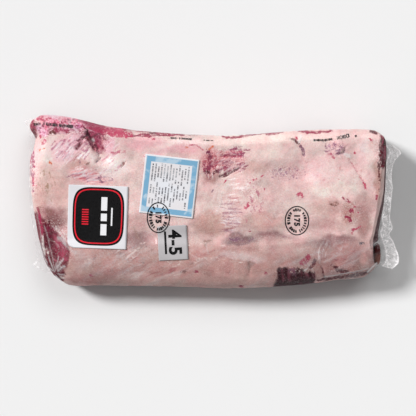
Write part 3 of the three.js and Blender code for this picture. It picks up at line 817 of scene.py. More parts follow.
def lean_and_tint(points, where):
    px, py = seen_at(points)
    x, y, z = points.T
    rosy_wall = smoothstep(mottle(x, y + 1.6 * z, 26, 59), 0.42, 0.7)
    wall_fat = lerp(linear(WALL_FAT), linear(WALL_ROSE), rosy_wall[:, None])
    tint = lerp(wall_fat, ground_tones(px, py), smoothstep(where["level"], 0.0, 0.12)[:, None])
    # painted light: just under the chine rim the wall is brightened, so that its shade does not show
    painted_glow = 1 + RIM_PAINTED_LIGHT * (1 - smoothstep(where["level"], 0.05, 0.45)) * smoothstep(where["across"], 0.9, 1.0)
    tint = np.minimum(tint * painted_glow[:, None], PALEST)
    drop = np.maximum(WALL_TOP - z, 0)
    wander_x = px + (5.0 + 2 * WALL_WANDER * drop) * (mottle(px, py + WALL_STEP * drop, 6, 41) - 0.5)
    wander_y = py + (5.0 + 2 * WALL_WANDER * drop) * (mottle(px, py + WALL_STEP * drop, 6, 43) - 0.5)
    # painted shade under the film's folds
    for corners, colour in FOLD_PAINTED_SHADES.values():
        tint = lerp(tint, linear(colour), 0.8 * inside(px, py, corners, 0.8)[:, None])
    top = smoothstep(where["level"], -0.02, 0.04)
    lean = np.zeros(len(px))
    for name, corners in LEAN_OPENINGS.items():
        cover = inside(wander_x, wander_y, corners, 1.4) * top
        tint = lerp(tint, linear(LEAN_TONES[name]), cover[:, None])
        lean = np.maximum(lean, cover)
    border = side_values(where, LEAN_STARTS) + 0.22 * (mottle(x + z, y - z, 34, 47) - 0.5)
    low = 1 - smoothstep(where["level"], border - 0.05, border + 0.03)
    skin = smoothstep(mottle(x * 0.35, (y + z) * 1.2, 24, 53), 0.52, 0.66)
    wall = lerp(linear(LEAN_RED), linear(SILVERSKIN), (0.75 * skin)[:, None])
    # painted shade over the lower wall at the mouth end
    at_mouth = 0.85 * smoothstep(x, 205, 222)
    wall = lerp(wall, linear(MOUTH_WALL_SHADE), at_mouth[:, None])
    tint = lerp(tint, wall, low[:, None])
    lean = np.maximum(lean * (1 - low), low * (1 - 0.8 * skin) * (1 - 0.8 * at_mouth))
    return lean, tint, top * (1 - low)


lean, tint, on_cap = lean_and_tint(form_points, form_where)
mark_colour, mark_cover = stroke_covers(px, py, np.maximum(WALL_TOP - form_points[:, 2], 0))
mark_cover *= smoothstep(form_where["level"], 0.02, 0.18)   # from above, marks run down a wall without end
print("lean share of the skin:", round(float((lean > 0.5).mean()), 2))

# %% [markdown]
# The fat is not smooth. Creases are cut in along named lines, and small lumps are laid over the
# whole of it. The film does not follow a crease to its bottom, so the same field is used for the
# bag at part strength. It could be sculpted by brush, but a named depth in millimetres is easier to
# check against the photograph.

# %% Creases and lumps of the surface
CREASES = {   # path in picture pixels, width in pixels, depth in mm
    "rump_crease": ([(85.6, 127), (87, 133), (91.4, 141), (96, 149)], 3.8, 3.0),
    "rump_crease_tail": ([(96, 149), (99, 154), (101, 158), (97, 162)], 3.2, 1.4),
    "rump_fold": ([(82, 139), (87, 135)], 3.6, 1.6),
    "fan_pit": ([(76.6, 148), (80, 144)], 2.8, 1.4),
    "wedge": ([(221, 176.2), (229, 173.4), (238.6, 168.6)], 3.4, 2.2),
    "foot_of_hollow": ([(206, 172.6), (221, 172.6)], 3.4, 1.5),
    "hollow_line": ([(222, 157), (241, 156.6)], 2.6, 1.0),
    "rib_crease": ([(292, 138), (297, 142), (303.6, 151), (304, 155)], 3.4, 2.0),
    "fold_line": ([(350, 160), (356, 169), (362, 180), (367, 189)], 2.6, 0.9),
    "nodule_ring": ([(338, 155.4), (344.6, 153), (346.4, 147)], 3.0, 1.2),
    "grey_hollow": ([(228, 239), (244, 240), (256, 238), (286, 236)], 7.0, 0.9),
    "grade_side": ([(190, 226), (192, 260)], 4.0, 0.5),
    "triangle": ([(250, 262), (248, 276)], 5.0, 0.8),
    "low_322": ([(322, 266), (325, 279)], 2.6, 0.9),
    "low_edge": ([(322, 280), (350, 276.6), (362, 275)], 2.6, 1.0),
    "low_336": ([(335, 268), (340, 272), (348, 273)], 3.0, 1.2),
    "lean_seam": ([(40, 214), (45, 232), (49, 246), (54, 268)], 4.0, 1.0),
    "lean_hollow": ([(54, 238), (60, 252)], 14, 2.0),
    "patch_hollow": ([(281, 278), (308, 277)], 12, 1.2),
    "blind_margin": ([(33, 150), (32, 185)], 3.0, 0.6),
    "stroke_123": ([(121.8, 166.6), (124, 162.4)], 3.0, 0.7),
}


def crease_field(px, py, sharpness=1.0):
    depth = np.zeros(len(px))
    for path, width, deep in CREASES.values():
        distance = far_from_path(px, py, path)
        depth = np.maximum(depth, deep * np.exp(-((distance / (0.5 * width * sharpness)) ** 2)))
    return depth


def lumps(points):
    x, y, z = points.T
    return 1.1 * (mottle(x, y + z, 15, 61) - 0.5) + 0.5 * (mottle(x, y + z, 5.5, 67, 2) - 0.5)


print("deepest crease:", crease_field(px, py).max().round(2), "mm")

# %% [markdown]
# Shrink film lies in fine pleats wherever it had to give way: a fan at the rump, rungs beside the
# middle, rays round the corners. A pleat is only 4 mm from ridge to ridge, close to the mesh's own
# cells, so each point stores how high its pleats are and where it is in the wave. The shader turns
# the two into relief that stays sharp between the points.

# %% Pleats of the film
STRAIGHT_PLEATS = {   # middle x, y, half width, half height, turn, ridge angle, pitch in px, height in mm
    "fan": (71, 150, 17, 15, 0, 48, 3.1, 0.34),
    "fan_right": (112, 146, 14, 9, 0, 40, 3.4, 0.16),
    "above_square": (88, 176, 24, 8, -14, 14, 3.3, 0.30),
    "rungs": (229, 221, 10, 13, 0, 4, 2.9, 0.42),
    "rungs_upper": (231, 201, 12, 10, 0, 6, 3.6, 0.26),
    "hollow": (239, 168, 15, 9, 0, 24, 3.2, 0.22),
    "hollow_top": (236, 153, 13, 7, 0, 2, 2.9, 0.28),
    "beside_blue": (212, 166, 11, 16, 0, 88, 3.6, 0.34),
    "below_blue": (216, 196, 8, 14, 0, 84, 4.4, 0.16),
    "back": (253, 203, 6, 12, 0, 74, 3.8, 0.22),
    "chine_left": (125, 134, 22, 5, -4, 60, 3.0, 0.16),
    "patch": (296, 277, 21, 10, 0, 82, 4.4, 0.12),
    "patch_right": (318, 268, 9, 9, 0, 62, 3.4, 0.20),
    "mouth": (379, 182, 6, 30, 0, 84, 3.0, 0.14),
    "corner_lean": (62, 240, 12, 14, 0, -54, 4.0, 0.24),
    "knob": (82, 258, 12, 8, 0, 20, 5.0, 0.16),
    "swirl": (128, 252, 20, 11, 0, 34, 5.4, 0.26),
    "slope_left": (150, 272, 42, 12, 0, 24, 6.4, 0.22),
    "slope_mid": (210, 262, 40, 18, 0, 18, 7.0, 0.18),
    "slope_right": (340, 256, 30, 14, 0, 24, 6.0, 0.20),
    "groove_right": (322, 250, 10, 14, 0, 72, 5.0, 0.26),
    "back_right": (262, 226, 18, 12, 0, -40, 5.6, 0.14),
}
RAY_PLEATS = {   # centre, reach in px, rays all round, height in mm
    "corner_low": ((54.6, 273), 13, 30, 0.28),
    "corner_dot": ((371.5, 139.6), 10, 16, 0.16),
    "nodule": ((348, 152), 12, 22, 0.12),
    "back_y": ((247, 205), 9, 18, 0.12),
}


PLEAT_LENGTH = 4.5   # pitches


def pleats(px, py):
    """Height in mm of the pleats at each picture place, and where it is along and across them."""
    size, at = np.zeros(len(px)), np.zeros((len(px), 3))
    drift = 2.2 * (mottle(px, py, 14, 71, 2) - 0.5)

    def lay(here, along, across, pitch, number):
        nonlocal size
        stronger = here > size
        size = np.where(stronger, here, size)
        at[stronger] = np.stack([along / (pitch * PLEAT_LENGTH), 1.8 * across / pitch + drift,
                                 np.full(len(px), 7.3 * number)], 1)[stronger]

    for k, (x, y, half_x, half_y, turn, ridge, pitch, height) in enumerate(STRAIGHT_PLEATS.values()):
        c, s = math.cos(math.radians(ridge)), math.sin(math.radians(ridge))
        here = height * (1 - smoothstep(oval(px, py, x, y, half_x, half_y, turn), 0.5, 1.2))
        lay(here, (px - x) * c - (py - y) * s, (px - x) * s + (py - y) * c, pitch, k)
    for k, ((x, y), spread, rays, height) in enumerate(RAY_PLEATS.values()):
        away = np.hypot(px - x, py - y)
        here = height * (1 - smoothstep(away, 0.5 * spread, 1.2 * spread)) * smoothstep(away, 0, 3)
        lay(here, away, rays * np.arctan2(py - y, px - x) / (2 * math.pi) * 3.0, 3.0, 50 + k)
    return size, at


print("pleated zones:", len(STRAIGHT_PLEATS) + len(RAY_PLEATS))

# %% [markdown]
# Handling and pressure leave some places more mottled than others: rose and milky flecks a
# millimetre or two wide. The flecks come from noise in the shader, and these ovals say how strong
# they are from 0 to 1.

# %% Where the fat is mottled
EVEN_MOTTLE = 0.22
MOTTLED = {   # middle x, y, half width, half height, turn, strength
    "rump": (80, 125, 58, 12, -8, 1.0),
    "rump_corner": (44, 130, 12, 14, 0, 0.8),
    "fan": (70, 147, 24, 16, 0, 0.4),
    "crease_side": (103, 141, 14, 11, 0, 0.7),
    "hollow": (226, 160, 30, 15, 0, 0.6),
    "rungs": (230, 210, 14, 26, 0, 0.45),
    "back": (252, 192, 16, 22, 0, 0.4),
    "grey_band": (286, 172, 24, 8, 0, 0.5),
    "above_square": (90, 174, 30, 9, 0, 0.4),
    "chine": (150, 134, 50, 7, -3, 0.45),
    "groove": (244, 238, 34, 8, 0, 0.25),
    "nodule": (336, 148, 14, 9, 0, 0.4),
    "blot": (352, 212, 16, 16, 0, 0.45),
    "mouth_margin": (381, 150, 6, 22, 0, 0.8),
    "blind_margin": (34, 172, 5, 34, 0, 0.6),
    "lean_corner": (55, 246, 20, 32, 0, 1.0),
    "patch": (296, 276, 24, 10, 0, 0.9),
    "low_right": (345, 270, 30, 8, 0, 0.45),
}


def strongest(px, py, zones, least):
    """The strongest of some soft-edged ovals at each picture place."""
    strength = np.full(len(px), least)
    for *where, most in zones.values():
        strength = np.maximum(strength, most * (1 - smoothstep(oval(px, py, *where), 0.5, 1.25)))
    return strength


mottling = strongest(px, py, MOTTLED, EVEN_MOTTLE)
print("mean mottling:", mottling.mean().round(2))

# %% [markdown]
# One small function adds a node with its settings and its links, so that each material reads from its
# first texture to its surface. An input given as a node takes that node's first output.

# %% Node and attribute helpers
def add(tree, kind, inputs=(), **settings):
    """Adds a node. Inputs are by name or in order: a value, a socket, or a node's first output."""
    made = tree.nodes.new(kind)
    for key, value in settings.items():
        setattr(made, key, value)
    for key, value in (inputs.items() if isinstance(inputs, dict) else enumerate(inputs)):
        source = value.outputs[0] if isinstance(value, bpy.types.Node) else value
        if isinstance(source, bpy.types.NodeSocket):
            tree.links.new(source, made.inputs[key])
        else:
            made.inputs[key].default_value = source
    return made


def new_material(name):
    material = bpy.data.materials.new(name)
    material.use_nodes = True
    material.node_tree.nodes.clear()
    return material, material.node_tree


def set_values(mesh, name, values):
    """Stores one number or one colour for each point of a mesh."""
    values = np.asarray(values, np.float32)
    if values.ndim == 1:
        mesh.attributes.new(name, "FLOAT", "POINT").data.foreach_set("value", values)
    else:
        full = np.concatenate([values, np.ones((len(values), 1), np.float32)], 1)
        mesh.attributes.new(name, "FLOAT_COLOR", "POINT").data.foreach_set("color", full.ravel())


def place(name, mesh, material, slot, *replaced):
    """Puts a mesh in the scene as a piece of the loin: all of it rides on the one body."""
    piece = bpy.data.objects.new(name, mesh)
    mesh.materials.clear()
    mesh.materials.append(material)
    bpy.context.scene.collection.objects.link(piece)
    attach(piece, "root")
    if replaced:
        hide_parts(*replaced)
    return piece


print("helpers ready")

# %% [markdown]
# Beef fat and lean in one skin. Fat is a soft, milky solid: light enters a little way and comes back
# warmer, and its surface is grained by lobules 2 to 4 mm across. Lean is darker and finer, with
# threads of marbling. Under shrink film neither has a gloss of its own, so the shader is matt with a
# specular level near nothing, because film and juice wet it, and the film piece gives the shine.

# %% Material: beef fat and lean
FLECK_MM, BLOTCH_MM, LOBULE_MM, MUSCLE_GRAIN_MM, MARBLING_MM = 1.5, 5.0, 3.2, 1.1, 11
ROSE_FLECK, MILKY_FLECK, MARBLING_FAT = "#cd8095", "#fff4f2", "#d3a7a4"


EASED = {"interpolation_type": "SMOOTHSTEP"}


def pleat_wave(tree):
    """The wave of the pleats from -1 to 1: long in one direction, short in the other."""
    at = add(tree, "ShaderNodeAttribute", attribute_name="pleat_at").outputs["Color"]
    folds = add(tree, "ShaderNodeTexNoise",
                {"Vector": at, "Scale": 1.0, "Detail": 2.0, "Roughness": 0.5, "Distortion": 0.25})
    return add(tree, "ShaderNodeMapRange", (folds, 0.3, 0.7, -1.0, 1.0))


def beef():
    material, tree = new_material("beef_fat_and_lean")
    place_at = add(tree, "ShaderNodeTexCoord").outputs["Object"]
    lean_here, strength, pleat_size, cover = (
        add(tree, "ShaderNodeAttribute", attribute_name=stored).outputs["Fac"]
        for stored in ("lean", "mottling", "pleat_size", "mark_cover"))
    tint, mark = (add(tree, "ShaderNodeAttribute", attribute_name=stored).outputs["Color"]
                  for stored in ("tint", "mark"))
    flecks, blotches, grain = (
        add(tree, "ShaderNodeTexNoise",
            {"Vector": place_at, "Scale": 1 / (size * MM), "Detail": detail, "Roughness": roughness})
        for size, detail, roughness in
        ((FLECK_MM, 4.0, 0.65), (BLOTCH_MM, 4.0, 0.6), (MUSCLE_GRAIN_MM, 2.0, 0.6)))
    lobules = add(tree, "ShaderNodeTexVoronoi",
                  {"Vector": place_at, "Scale": 1 / (LOBULE_MM * MM), "Smoothness": 0.6}, feature="SMOOTH_F1")

    # threads of marbling run along the muscle, in the lean alone
    stretched = add(tree, "ShaderNodeMapping", {"Vector": place_at, "Scale": (0.35, 1.6, 1.0)},
                    vector_type="POINT")
    marbling = add(tree, "ShaderNodeTexNoise", {"Vector": stretched, "Scale": 1 / (MARBLING_MM * MM),
                                                "Detail": 5.0, "Roughness": 0.5, "Distortion": 0.6})
    veined = add(tree, "ShaderNodeMapRange", (marbling, 0.60, 0.70, 0.0, 0.55), **EASED)
    threads = add(tree, "ShaderNodeMath", (veined, lean_here), operation="MULTIPLY")
    ground = add(tree, "ShaderNodeMix", {0: threads, 6: tint, 7: rgba(MARBLING_FAT)},
                 data_type="RGBA").outputs[2]
    lobule_light = add(tree, "ShaderNodeMapRange", (lobules, 0.0, 0.7, 1.03, 0.95))
    grained = add(tree, "ShaderNodeVectorMath", {0: ground, "Scale": lobule_light}, operation="SCALE")

    # rose flecks, and painted shade down in the pleats' hollows
    wave = add(tree, "ShaderNodeMath", (pleat_wave(tree), pleat_size), operation="MULTIPLY")
    rose_here = add(tree, "ShaderNodeMapRange", (flecks, 0.48, 0.64, 0.0, 1.0), **EASED)
    rose = add(tree, "ShaderNodeMath", (rose_here, strength), operation="MULTIPLY")
    pleat_hollow_shade = add(tree, "ShaderNodeMapRange", (wave, -0.03, -0.30, 0.0, 0.75), **EASED)
    rosy_share = add(tree, "ShaderNodeMath", (rose, pleat_hollow_shade), operation="MAXIMUM")
    rosy = add(tree, "ShaderNodeMix", {0: rosy_share, 6: grained, 7: rgba(ROSE_FLECK)},
               data_type="RGBA", blend_type="MULTIPLY").outputs[2]

    # milky flecks, fewer on the lean, and painted light along the pleats' ridges
    off_lean = add(tree, "ShaderNodeMapRange", (lean_here, 0.0, 1.0, 1.0, 0.3), **EASED)
    on_fat = add(tree, "ShaderNodeMath", (strength, off_lean), operation="MULTIPLY")
    milk_here = add(tree, "ShaderNodeMapRange", (flecks, 0.48, 0.32, 0.0, 0.8), **EASED)
    milk = add(tree, "ShaderNodeMath", (milk_here, on_fat), operation="MULTIPLY")
    pleat_crest_light = add(tree, "ShaderNodeMapRange", (wave, 0.03, 0.34, 0.0, 0.55), **EASED)
    milky_share = add(tree, "ShaderNodeMath", (milk, pleat_crest_light), operation="MAXIMUM")
    milky_fat = add(tree, "ShaderNodeMix", {0: milky_share, 6: rosy, 7: rgba(MILKY_FLECK)},
                    data_type="RGBA").outputs[2]

    # blood creeps along the fibres, so noise breaks up the edges of the marks
    both = add(tree, "ShaderNodeMath", (flecks, blotches), operation="ADD")
    creeping = add(tree, "ShaderNodeMapRange", (both, 0.80, 1.22, 0.25, 1.75))
    broken = add(tree, "ShaderNodeMath", (cover, creeping), operation="MULTIPLY")
    mark_share = add(tree, "ShaderNodeMapRange", (broken, 0.16, 0.80, 0.0, 0.94), **EASED)
    colour = add(tree, "ShaderNodeMix", {0: mark_share, 6: milky_fat, 7: mark}, data_type="RGBA").outputs[2]

    relief = add(tree, "ShaderNodeMath", (lobules, -0.5, grain), operation="MULTIPLY_ADD")
    bump = add(tree, "ShaderNodeBump", {"Strength": 0.35, "Distance": 0.3 * MM, "Height": relief})
    surface = add(tree, "ShaderNodeBsdfPrincipled",
                  {"Base Color": colour, "Roughness": 0.5, "IOR": 1.44, "Specular IOR Level": 0.03,
                   "Subsurface Weight": 0.08, "Subsurface Radius": (1.0, 0.45, 0.3),
                   "Subsurface Scale": 1.2 * MM, "Normal": bump})
    add(tree, "ShaderNodeOutputMaterial", {"Surface": surface})
    return material


# %% [markdown]
# The striploin itself: the closed skin, drawn in a little so that it lies under the film, with its
# creases and lumps moved along the normals and its colours stored on its points.

# %% Piece: the striploin
MEAT_UNDER_FORM = 0.8   # mm
ALBEDO = 0.93           # the photograph's colours hold the light as well, so they are taken down


def shaped(mesh, points, along_normal, floor):
    """Moves a mesh's points along its own normals by a distance for each, in mm, above a floor."""
    shifted = points + normals_of(mesh) * along_normal[:, None]
    shifted[:, 2] = np.maximum(shifted[:, 2], floor)
    mesh.vertices.foreach_set("co", (shifted * MM).ravel())
    mesh.update()
    return shifted


GAP_FROM_X, GAP_TO_X = 188, 228     # mm on the plan
POCKET_FROM_Y, POCKET_TO_Y = -50, -58
MOUTH_GAP = [(-100, 0), (-90, 2), (-81, 10), (-59, 9.7), (-45, 5), (-33, 4.2), (2, 3.6), (16, 2.2),
             (37, 2), (57, 1), (84, 0)]   # place across the loin, gap in mm


def clear_of_mouth(points, level):
    """The meat's upper edge stops short of the bag's mouth, and at the pocket all of it does."""
    short = smooth_through(MOUTH_GAP, points[:, 1]) * smoothstep(points[:, 0], GAP_FROM_X, GAP_TO_X)
    at_pocket = smoothstep(-points[:, 1], -POCKET_FROM_Y, -POCKET_TO_Y)
    short = short * np.maximum(smoothstep(level, 0.05, 0.6), at_pocket)
    return points - np.outer(short, (1, 0, 0))


cap_relief = lumps(form_points) * (0.4 + 0.6 * on_cap) - crease_field(px, py) * on_cap
drawn_back = clear_of_mouth(form_points, form_where["level"])
shaped(form, drawn_back, cap_relief * (form_where["level"] > -1) - MEAT_UNDER_FORM, 0.4)
set_values(form, "tint", tint * ALBEDO)
set_values(form, "lean", lean)
set_values(form, "mark", mark_colour * ALBEDO)
set_values(form, "mark_cover", mark_cover)
form_pleats, form_pleats_at = pleats(px, py)
set_values(form, "pleat_size", form_pleats * on_cap)
set_values(form, "pleat_at", form_pleats_at)
set_values(form, "mottling", mottling)
form.update()
place("striploin", form, beef(), "filmed_fat", "bagged_striploin")
print("striploin:", triangles_of(form), "triangles")

# %% [markdown]
# Three paper labels were laid on the meat before it was bagged, so the film runs over them. Each is a thin
# card that follows the cap. Its middle comes from its imported node and its turn from the table below; the
# card is cut from a fine grid, and one corner of the square label is rounded off where the paper has
# softened.

# %% The labels' places
LABELS = {   # width, height, turn in degrees, radius of the low left corner, in mm
    "label_square": (79.5, 84, -2.0, 9.0),
    "label_blue": (72.5, 79, -6.6, 0.8),
    "label_grade": (39.5, 46, 3.0, 0.8),
}
CARD_THICK, CARD_CELL, CARD_OVER_FORM, CORNER_RADIUS = 0.45, 2.0, 0.05, 0.8   # mm


def label_middle(name):
    low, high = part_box(name)
    return (low.x + high.x) / 2 / MM, (low.y + high.y) / 2 / MM


def on_plan(name, u, v):
    """Turns places on a label, in mm from its middle, to places on the plan."""
    turn = math.radians(LABELS[name][2])
    x, y = label_middle(name)
    return x + u * math.cos(turn) - v * math.sin(turn), y + u * math.sin(turn) + v * math.cos(turn)


def on_label(name, x, y):
    turn = math.radians(LABELS[name][2])
    x0, y0 = label_middle(name)
    return ((x - x0) * math.cos(turn) + (y - y0) * math.sin(turn),
            (y - y0) * math.cos(turn) - (x - x0) * math.sin(turn))


def outside_label(name, x, y):
    """Distance in mm from a label's edge, less than 0 on the label."""
    width, height, _, corner = LABELS[name]
    u, v = on_label(name, x, y)
    radius = np.where((u < 0) & (v < 0), corner, CORNER_RADIUS)
    du, dv = np.abs(u) - width / 2 + radius, np.abs(v) - height / 2 + radius
    return np.hypot(np.maximum(du, 0), np.maximum(dv, 0)) + np.minimum(np.maximum(du, dv), 0) - radius


for name in LABELS:
    print(name, "middle", [round(v, 1) for v in label_middle(name)], "mm")

# %% [markdown]
# The bag is one closed skin of clear shrink film drawn tight over everything. It stands a hair clear
# of the meat, rises like a tent over each label, bridges the creases and carries the pleats. A
# shrink-wrap modifier would cling to every crease, and real film does not.

# %% Material: clear shrink film
FILM_SHINE, MOST_MIRROR, FILM_ROUGHNESS = 0.36, 0.06, 0.27
FACET_MM, RIPPLE_MM, SWAY_MM, SWAY_BY_MM = 4.2, 7, 9, 5
FOLDED_FILM = "#f4f0f1"


def shrink_film(name, haze_between=0.0, painted_glow=0.0):
    """Clear where it lies flat, milky where it is gathered: haze adds to the stored value."""
    material, tree = new_material(name)
    place_at = add(tree, "ShaderNodeTexCoord").outputs["Object"]
    size, crinkle, stored_haze = (add(tree, "ShaderNodeAttribute", attribute_name=stored).outputs["Fac"]
                                  for stored in ("pleat_size", "crinkle", "haze"))
    wave = pleat_wave(tree)
    ripple = add(tree, "ShaderNodeTexNoise",
                 {"Vector": place_at, "Scale": 1 / (RIPPLE_MM * MM), "Detail": 3.0, "Roughness": 0.55})
    sway = add(tree, "ShaderNodeTexNoise", {"Vector": place_at, "Scale": 1 / (SWAY_MM * MM), "Detail": 2.0})
    bent = add(tree, "ShaderNodeVectorMath", (sway.outputs["Color"], [SWAY_BY_MM * MM] * 3, place_at),
               operation="MULTIPLY_ADD")
    facets, folds = (add(tree, "ShaderNodeTexVoronoi", {"Vector": bent, "Scale": 1 / (FACET_MM * MM)},
                         feature=feature) for feature in ("F1", "DISTANCE_TO_EDGE"))

    # relief: pleats, ripples and the small cones of crinkled film
    pleat = add(tree, "ShaderNodeMath", (wave, size), operation="MULTIPLY")
    cone_height = add(tree, "ShaderNodeMath", (crinkle, 0.9), operation="MULTIPLY")
    cones = add(tree, "ShaderNodeMath", (facets, cone_height), operation="MULTIPLY")
    rippled = add(tree, "ShaderNodeMath", (ripple, 0.5, pleat), operation="MULTIPLY_ADD")
    relief = add(tree, "ShaderNodeMath", (rippled, cones), operation="ADD")
    bump = add(tree, "ShaderNodeBump", {"Strength": 1.0, "Distance": MM, "Height": relief})

    # the clear skin: see-through, with a dim mirror on its outer side
    fresnel = add(tree, "ShaderNodeFresnel", {"IOR": 1.5, "Normal": bump})
    backfacing = add(tree, "ShaderNodeNewGeometry").outputs["Backfacing"]
    facing = add(tree, "ShaderNodeMath", (1.0, backfacing), operation="SUBTRACT")
    held = add(tree, "ShaderNodeMath", (fresnel, MOST_MIRROR), operation="MINIMUM")
    mirror = add(tree, "ShaderNodeMath", (held, facing), operation="MULTIPLY")
    clear = add(tree, "ShaderNodeBsdfTransparent")
    gloss = add(tree, "ShaderNodeBsdfGlossy", {"Color": (FILM_SHINE, FILM_SHINE, FILM_SHINE, 1),
                                               "Roughness": FILM_ROUGHNESS, "Normal": bump})
    skin = add(tree, "ShaderNodeMixShader", (mirror, clear, gloss))

    # painted highlight along the pleats' crests, and milk where it is folded: in creases and in patches; the
    # milk also gives out the painted glow
    milk = add(tree, "ShaderNodeBsdfPrincipled",
               {"Base Color": rgba(FOLDED_FILM), "Roughness": 0.35, "IOR": 1.5, "Normal": bump,
                "Emission Color": (1, 1, 1, 1), "Emission Strength": painted_glow})
    ridge = add(tree, "ShaderNodeMapRange", (wave, 0.2, 0.9, 0.0, 0.38), **EASED)
    crest_highlight = add(tree, "ShaderNodeMath", (ridge, size), operation="MULTIPLY")
    fold_lines = add(tree, "ShaderNodeMapRange", (folds, 0.09, 0.0, 0.0, 0.5), **EASED)
    some_facets = add(tree, "ShaderNodeMapRange", (facets.outputs["Color"], 0.45, 0.95, 0.0, 0.3), **EASED)
    lined = add(tree, "ShaderNodeMath", (fold_lines, some_facets), operation="ADD")
    creased = add(tree, "ShaderNodeMath", (crinkle, lined), operation="MULTIPLY")
    patchy = add(tree, "ShaderNodeMapRange", (ripple, 0.4, 0.62, 0.0, haze_between))
    stored_and_crest = add(tree, "ShaderNodeMath", (stored_haze, crest_highlight), operation="ADD")
    creased_and_patchy = add(tree, "ShaderNodeMath", (creased, patchy), operation="ADD")
    haze = add(tree, "ShaderNodeMath", (stored_and_crest, creased_and_patchy), operation="ADD",
               use_clamp=True)
    surface = add(tree, "ShaderNodeMixShader", (haze, skin, milk))
    add(tree, "ShaderNodeOutputMaterial", {"Surface": surface})
    return material


# %% [markdown]
# Light catches the film in milky lines along its tightest ridges. They are strokes too, like the
# blood, but they are on the film: from the side they shift against the meat below, as real ones do.

# %% Piece: the bag
MILKY_LINES = {   # path in picture pixels, width in pixels, strength
    "crease_glint": ([(92.6, 139.4), (93.6, 140.6)], 2.2, 0.35),
    "lean_line": ([(44, 226), (48, 238), (51, 252), (54.6, 270)], 1.0, 0.24),
    "lean_left_line": ([(36.6, 214), (40, 230), (41, 245), (44.6, 258)], 1.0, 0.15),
    "lean_diag_1": ([(56, 226), (66, 240), (77, 253)], 1.1, 0.35),
    "lean_diag_2": ([(52, 226), (62, 236), (68, 246)], 1.1, 0.35),
    "lean_patch_1": ([(58, 238), (62, 239.6), (66, 245)], 3.2, 0.35),
    "lean_patch_2": ([(68, 246), (75, 254)], 3.0, 0.3),
    "lean_beads": ([(40, 246), (43, 256), (47, 263)], 1.4, 0.35),
    "lean_ray_1": ([(54.4, 272), (57, 262), (58.6, 256)], 1.1, 0.35),
    "lean_ray_2": ([(56.6, 269), (61, 262), (63, 259.6)], 1.5, 0.45),
    "lean_ray_3": ([(57.6, 271), (62, 267.4), (64.6, 266.4)], 1.6, 0.45),
    "lean_ray_4": ([(58, 274), (64, 274.8)], 1.3, 0.4),
    "lean_ray_5": ([(56, 276), (59, 279), (61, 281.6)], 1.2, 0.45),
    "lean_ray_6": ([(52.4, 271), (49, 268), (46, 266.4)], 1.2, 0.4),
    "lean_ray_7": ([(53.6, 271), (50, 262), (48.6, 257)], 1.1, 0.35),
    "square_corner": ([(67.4, 240), (70, 244.6), (76, 247.4)], 2.0, 0.4),
    "nodule_glint": ([(345.6, 154.4), (349.4, 155.4)], 3.6, 0.35),
    "corner_glint": ([(299, 142), (301.6, 135.4)], 2.4, 0.5),
    "slope_line_1": ([(323.4, 249), (321, 257), (319.6, 263)], 1.4, 0.28),
    "slope_line_2": ([(312, 254.6), (320, 251.4)], 2.0, 0.25),
    "slope_line_3": ([(329, 262), (342, 249)], 1.2, 0.2),
    "slope_line_4": ([(112, 263), (124, 254), (136, 246)], 1.6, 0.2),
    "slope_line_5": ([(118, 268), (134, 258)], 1.6, 0.16),
    "slope_line_6": ([(150, 284), (168, 276), (188, 268)], 1.8, 0.14),
    "slope_line_7": ([(206, 244), (208, 254)], 1.8, 0.18),
    "patch_line": ([(304.6, 271.6), (309.6, 265.4)], 1.1, 0.4),
    "patch_line_2": ([(311, 268), (314, 272)], 1.2, 0.25),
    "low_edge": ([(324, 277.4), (345, 273.8), (362, 270.6), (369, 268)], 1.2, 0.45),
    "low_corner": ([(368, 272), (373, 267), (377, 263.6)], 2.0, 0.65),
    "back_line": ([(272, 222), (266, 216)], 1.6, 0.2),
    "mid_line": ([(216, 214), (220, 206), (222, 192)], 1.8, 0.22),
    "upper_line": ([(224, 187), (233, 184.6)], 2.0, 0.25),
    "chine_line": ([(126, 128), (150, 130.4), (190, 134), (222, 134.6)], 1.6, 0.2),
    "blind_line": ([(31.6, 190), (30.6, 176), (31.4, 160)], 1.6, 0.3),
}
FILM_OVER_FORM, FILM_OVER_LABEL, TENT_WIDTH = -0.35, 0.85, 4.0   # mm
SLOPE_MILK_FROM, SLOPE_MILK_TO = 226, 262      # picture pixels down: milk comes in on the slope
LEAN_ENDS, FAT_STARTS = 62, 78                 # picture pixels across, at the low corner
PATCH_OVAL = (298, 278, 26, 12, 0)             # round the dark patch, which stays clear
CRINKLED = {   # middle x, y, half width, half height, turn, strength
    "rump": (66, 124, 40, 10, -4, 0.08),
    "rump_low": (44, 138, 14, 12, 0, 0.12),
    "crease": (98, 138, 14, 12, 0, 0.05),
    "lean_corner": (56, 250, 16, 28, 0, 0.09),
    "hollow": (222, 162, 22, 14, 0, 0.1),
    "slope_right": (332, 249, 30, 11, 0, 0.3),
    "slope_left": (120, 258, 50, 22, 0, 0.3),
    "mouth": (380, 150, 8, 16, 0, 0.18),
}


def milky(px, py):
    haze = np.zeros(len(px))
    wx = px + 0.8 * (mottle(px, py, 3, 83, 2) - 0.5)
    for path, width, strength in MILKY_LINES.values():
        distance = far_from_path(wx, py, path)
        haze = np.maximum(haze, strength * (1 - smoothstep(distance, 0.2 * width, 0.8 * width)))
    streaks = smoothstep(mottle(0.5 * px + 0.4 * py, 1.4 * py + 0.7 * px, 9, 89), 0.5, 0.8)
    over_fat = smoothstep(oval(px, py, *PATCH_OVAL), 0.9, 1.2) * smoothstep(px, LEAN_ENDS, FAT_STARTS)
    return np.maximum(haze, 0.2 * streaks * smoothstep(py, SLOPE_MILK_FROM, SLOPE_MILK_TO) * over_fat)


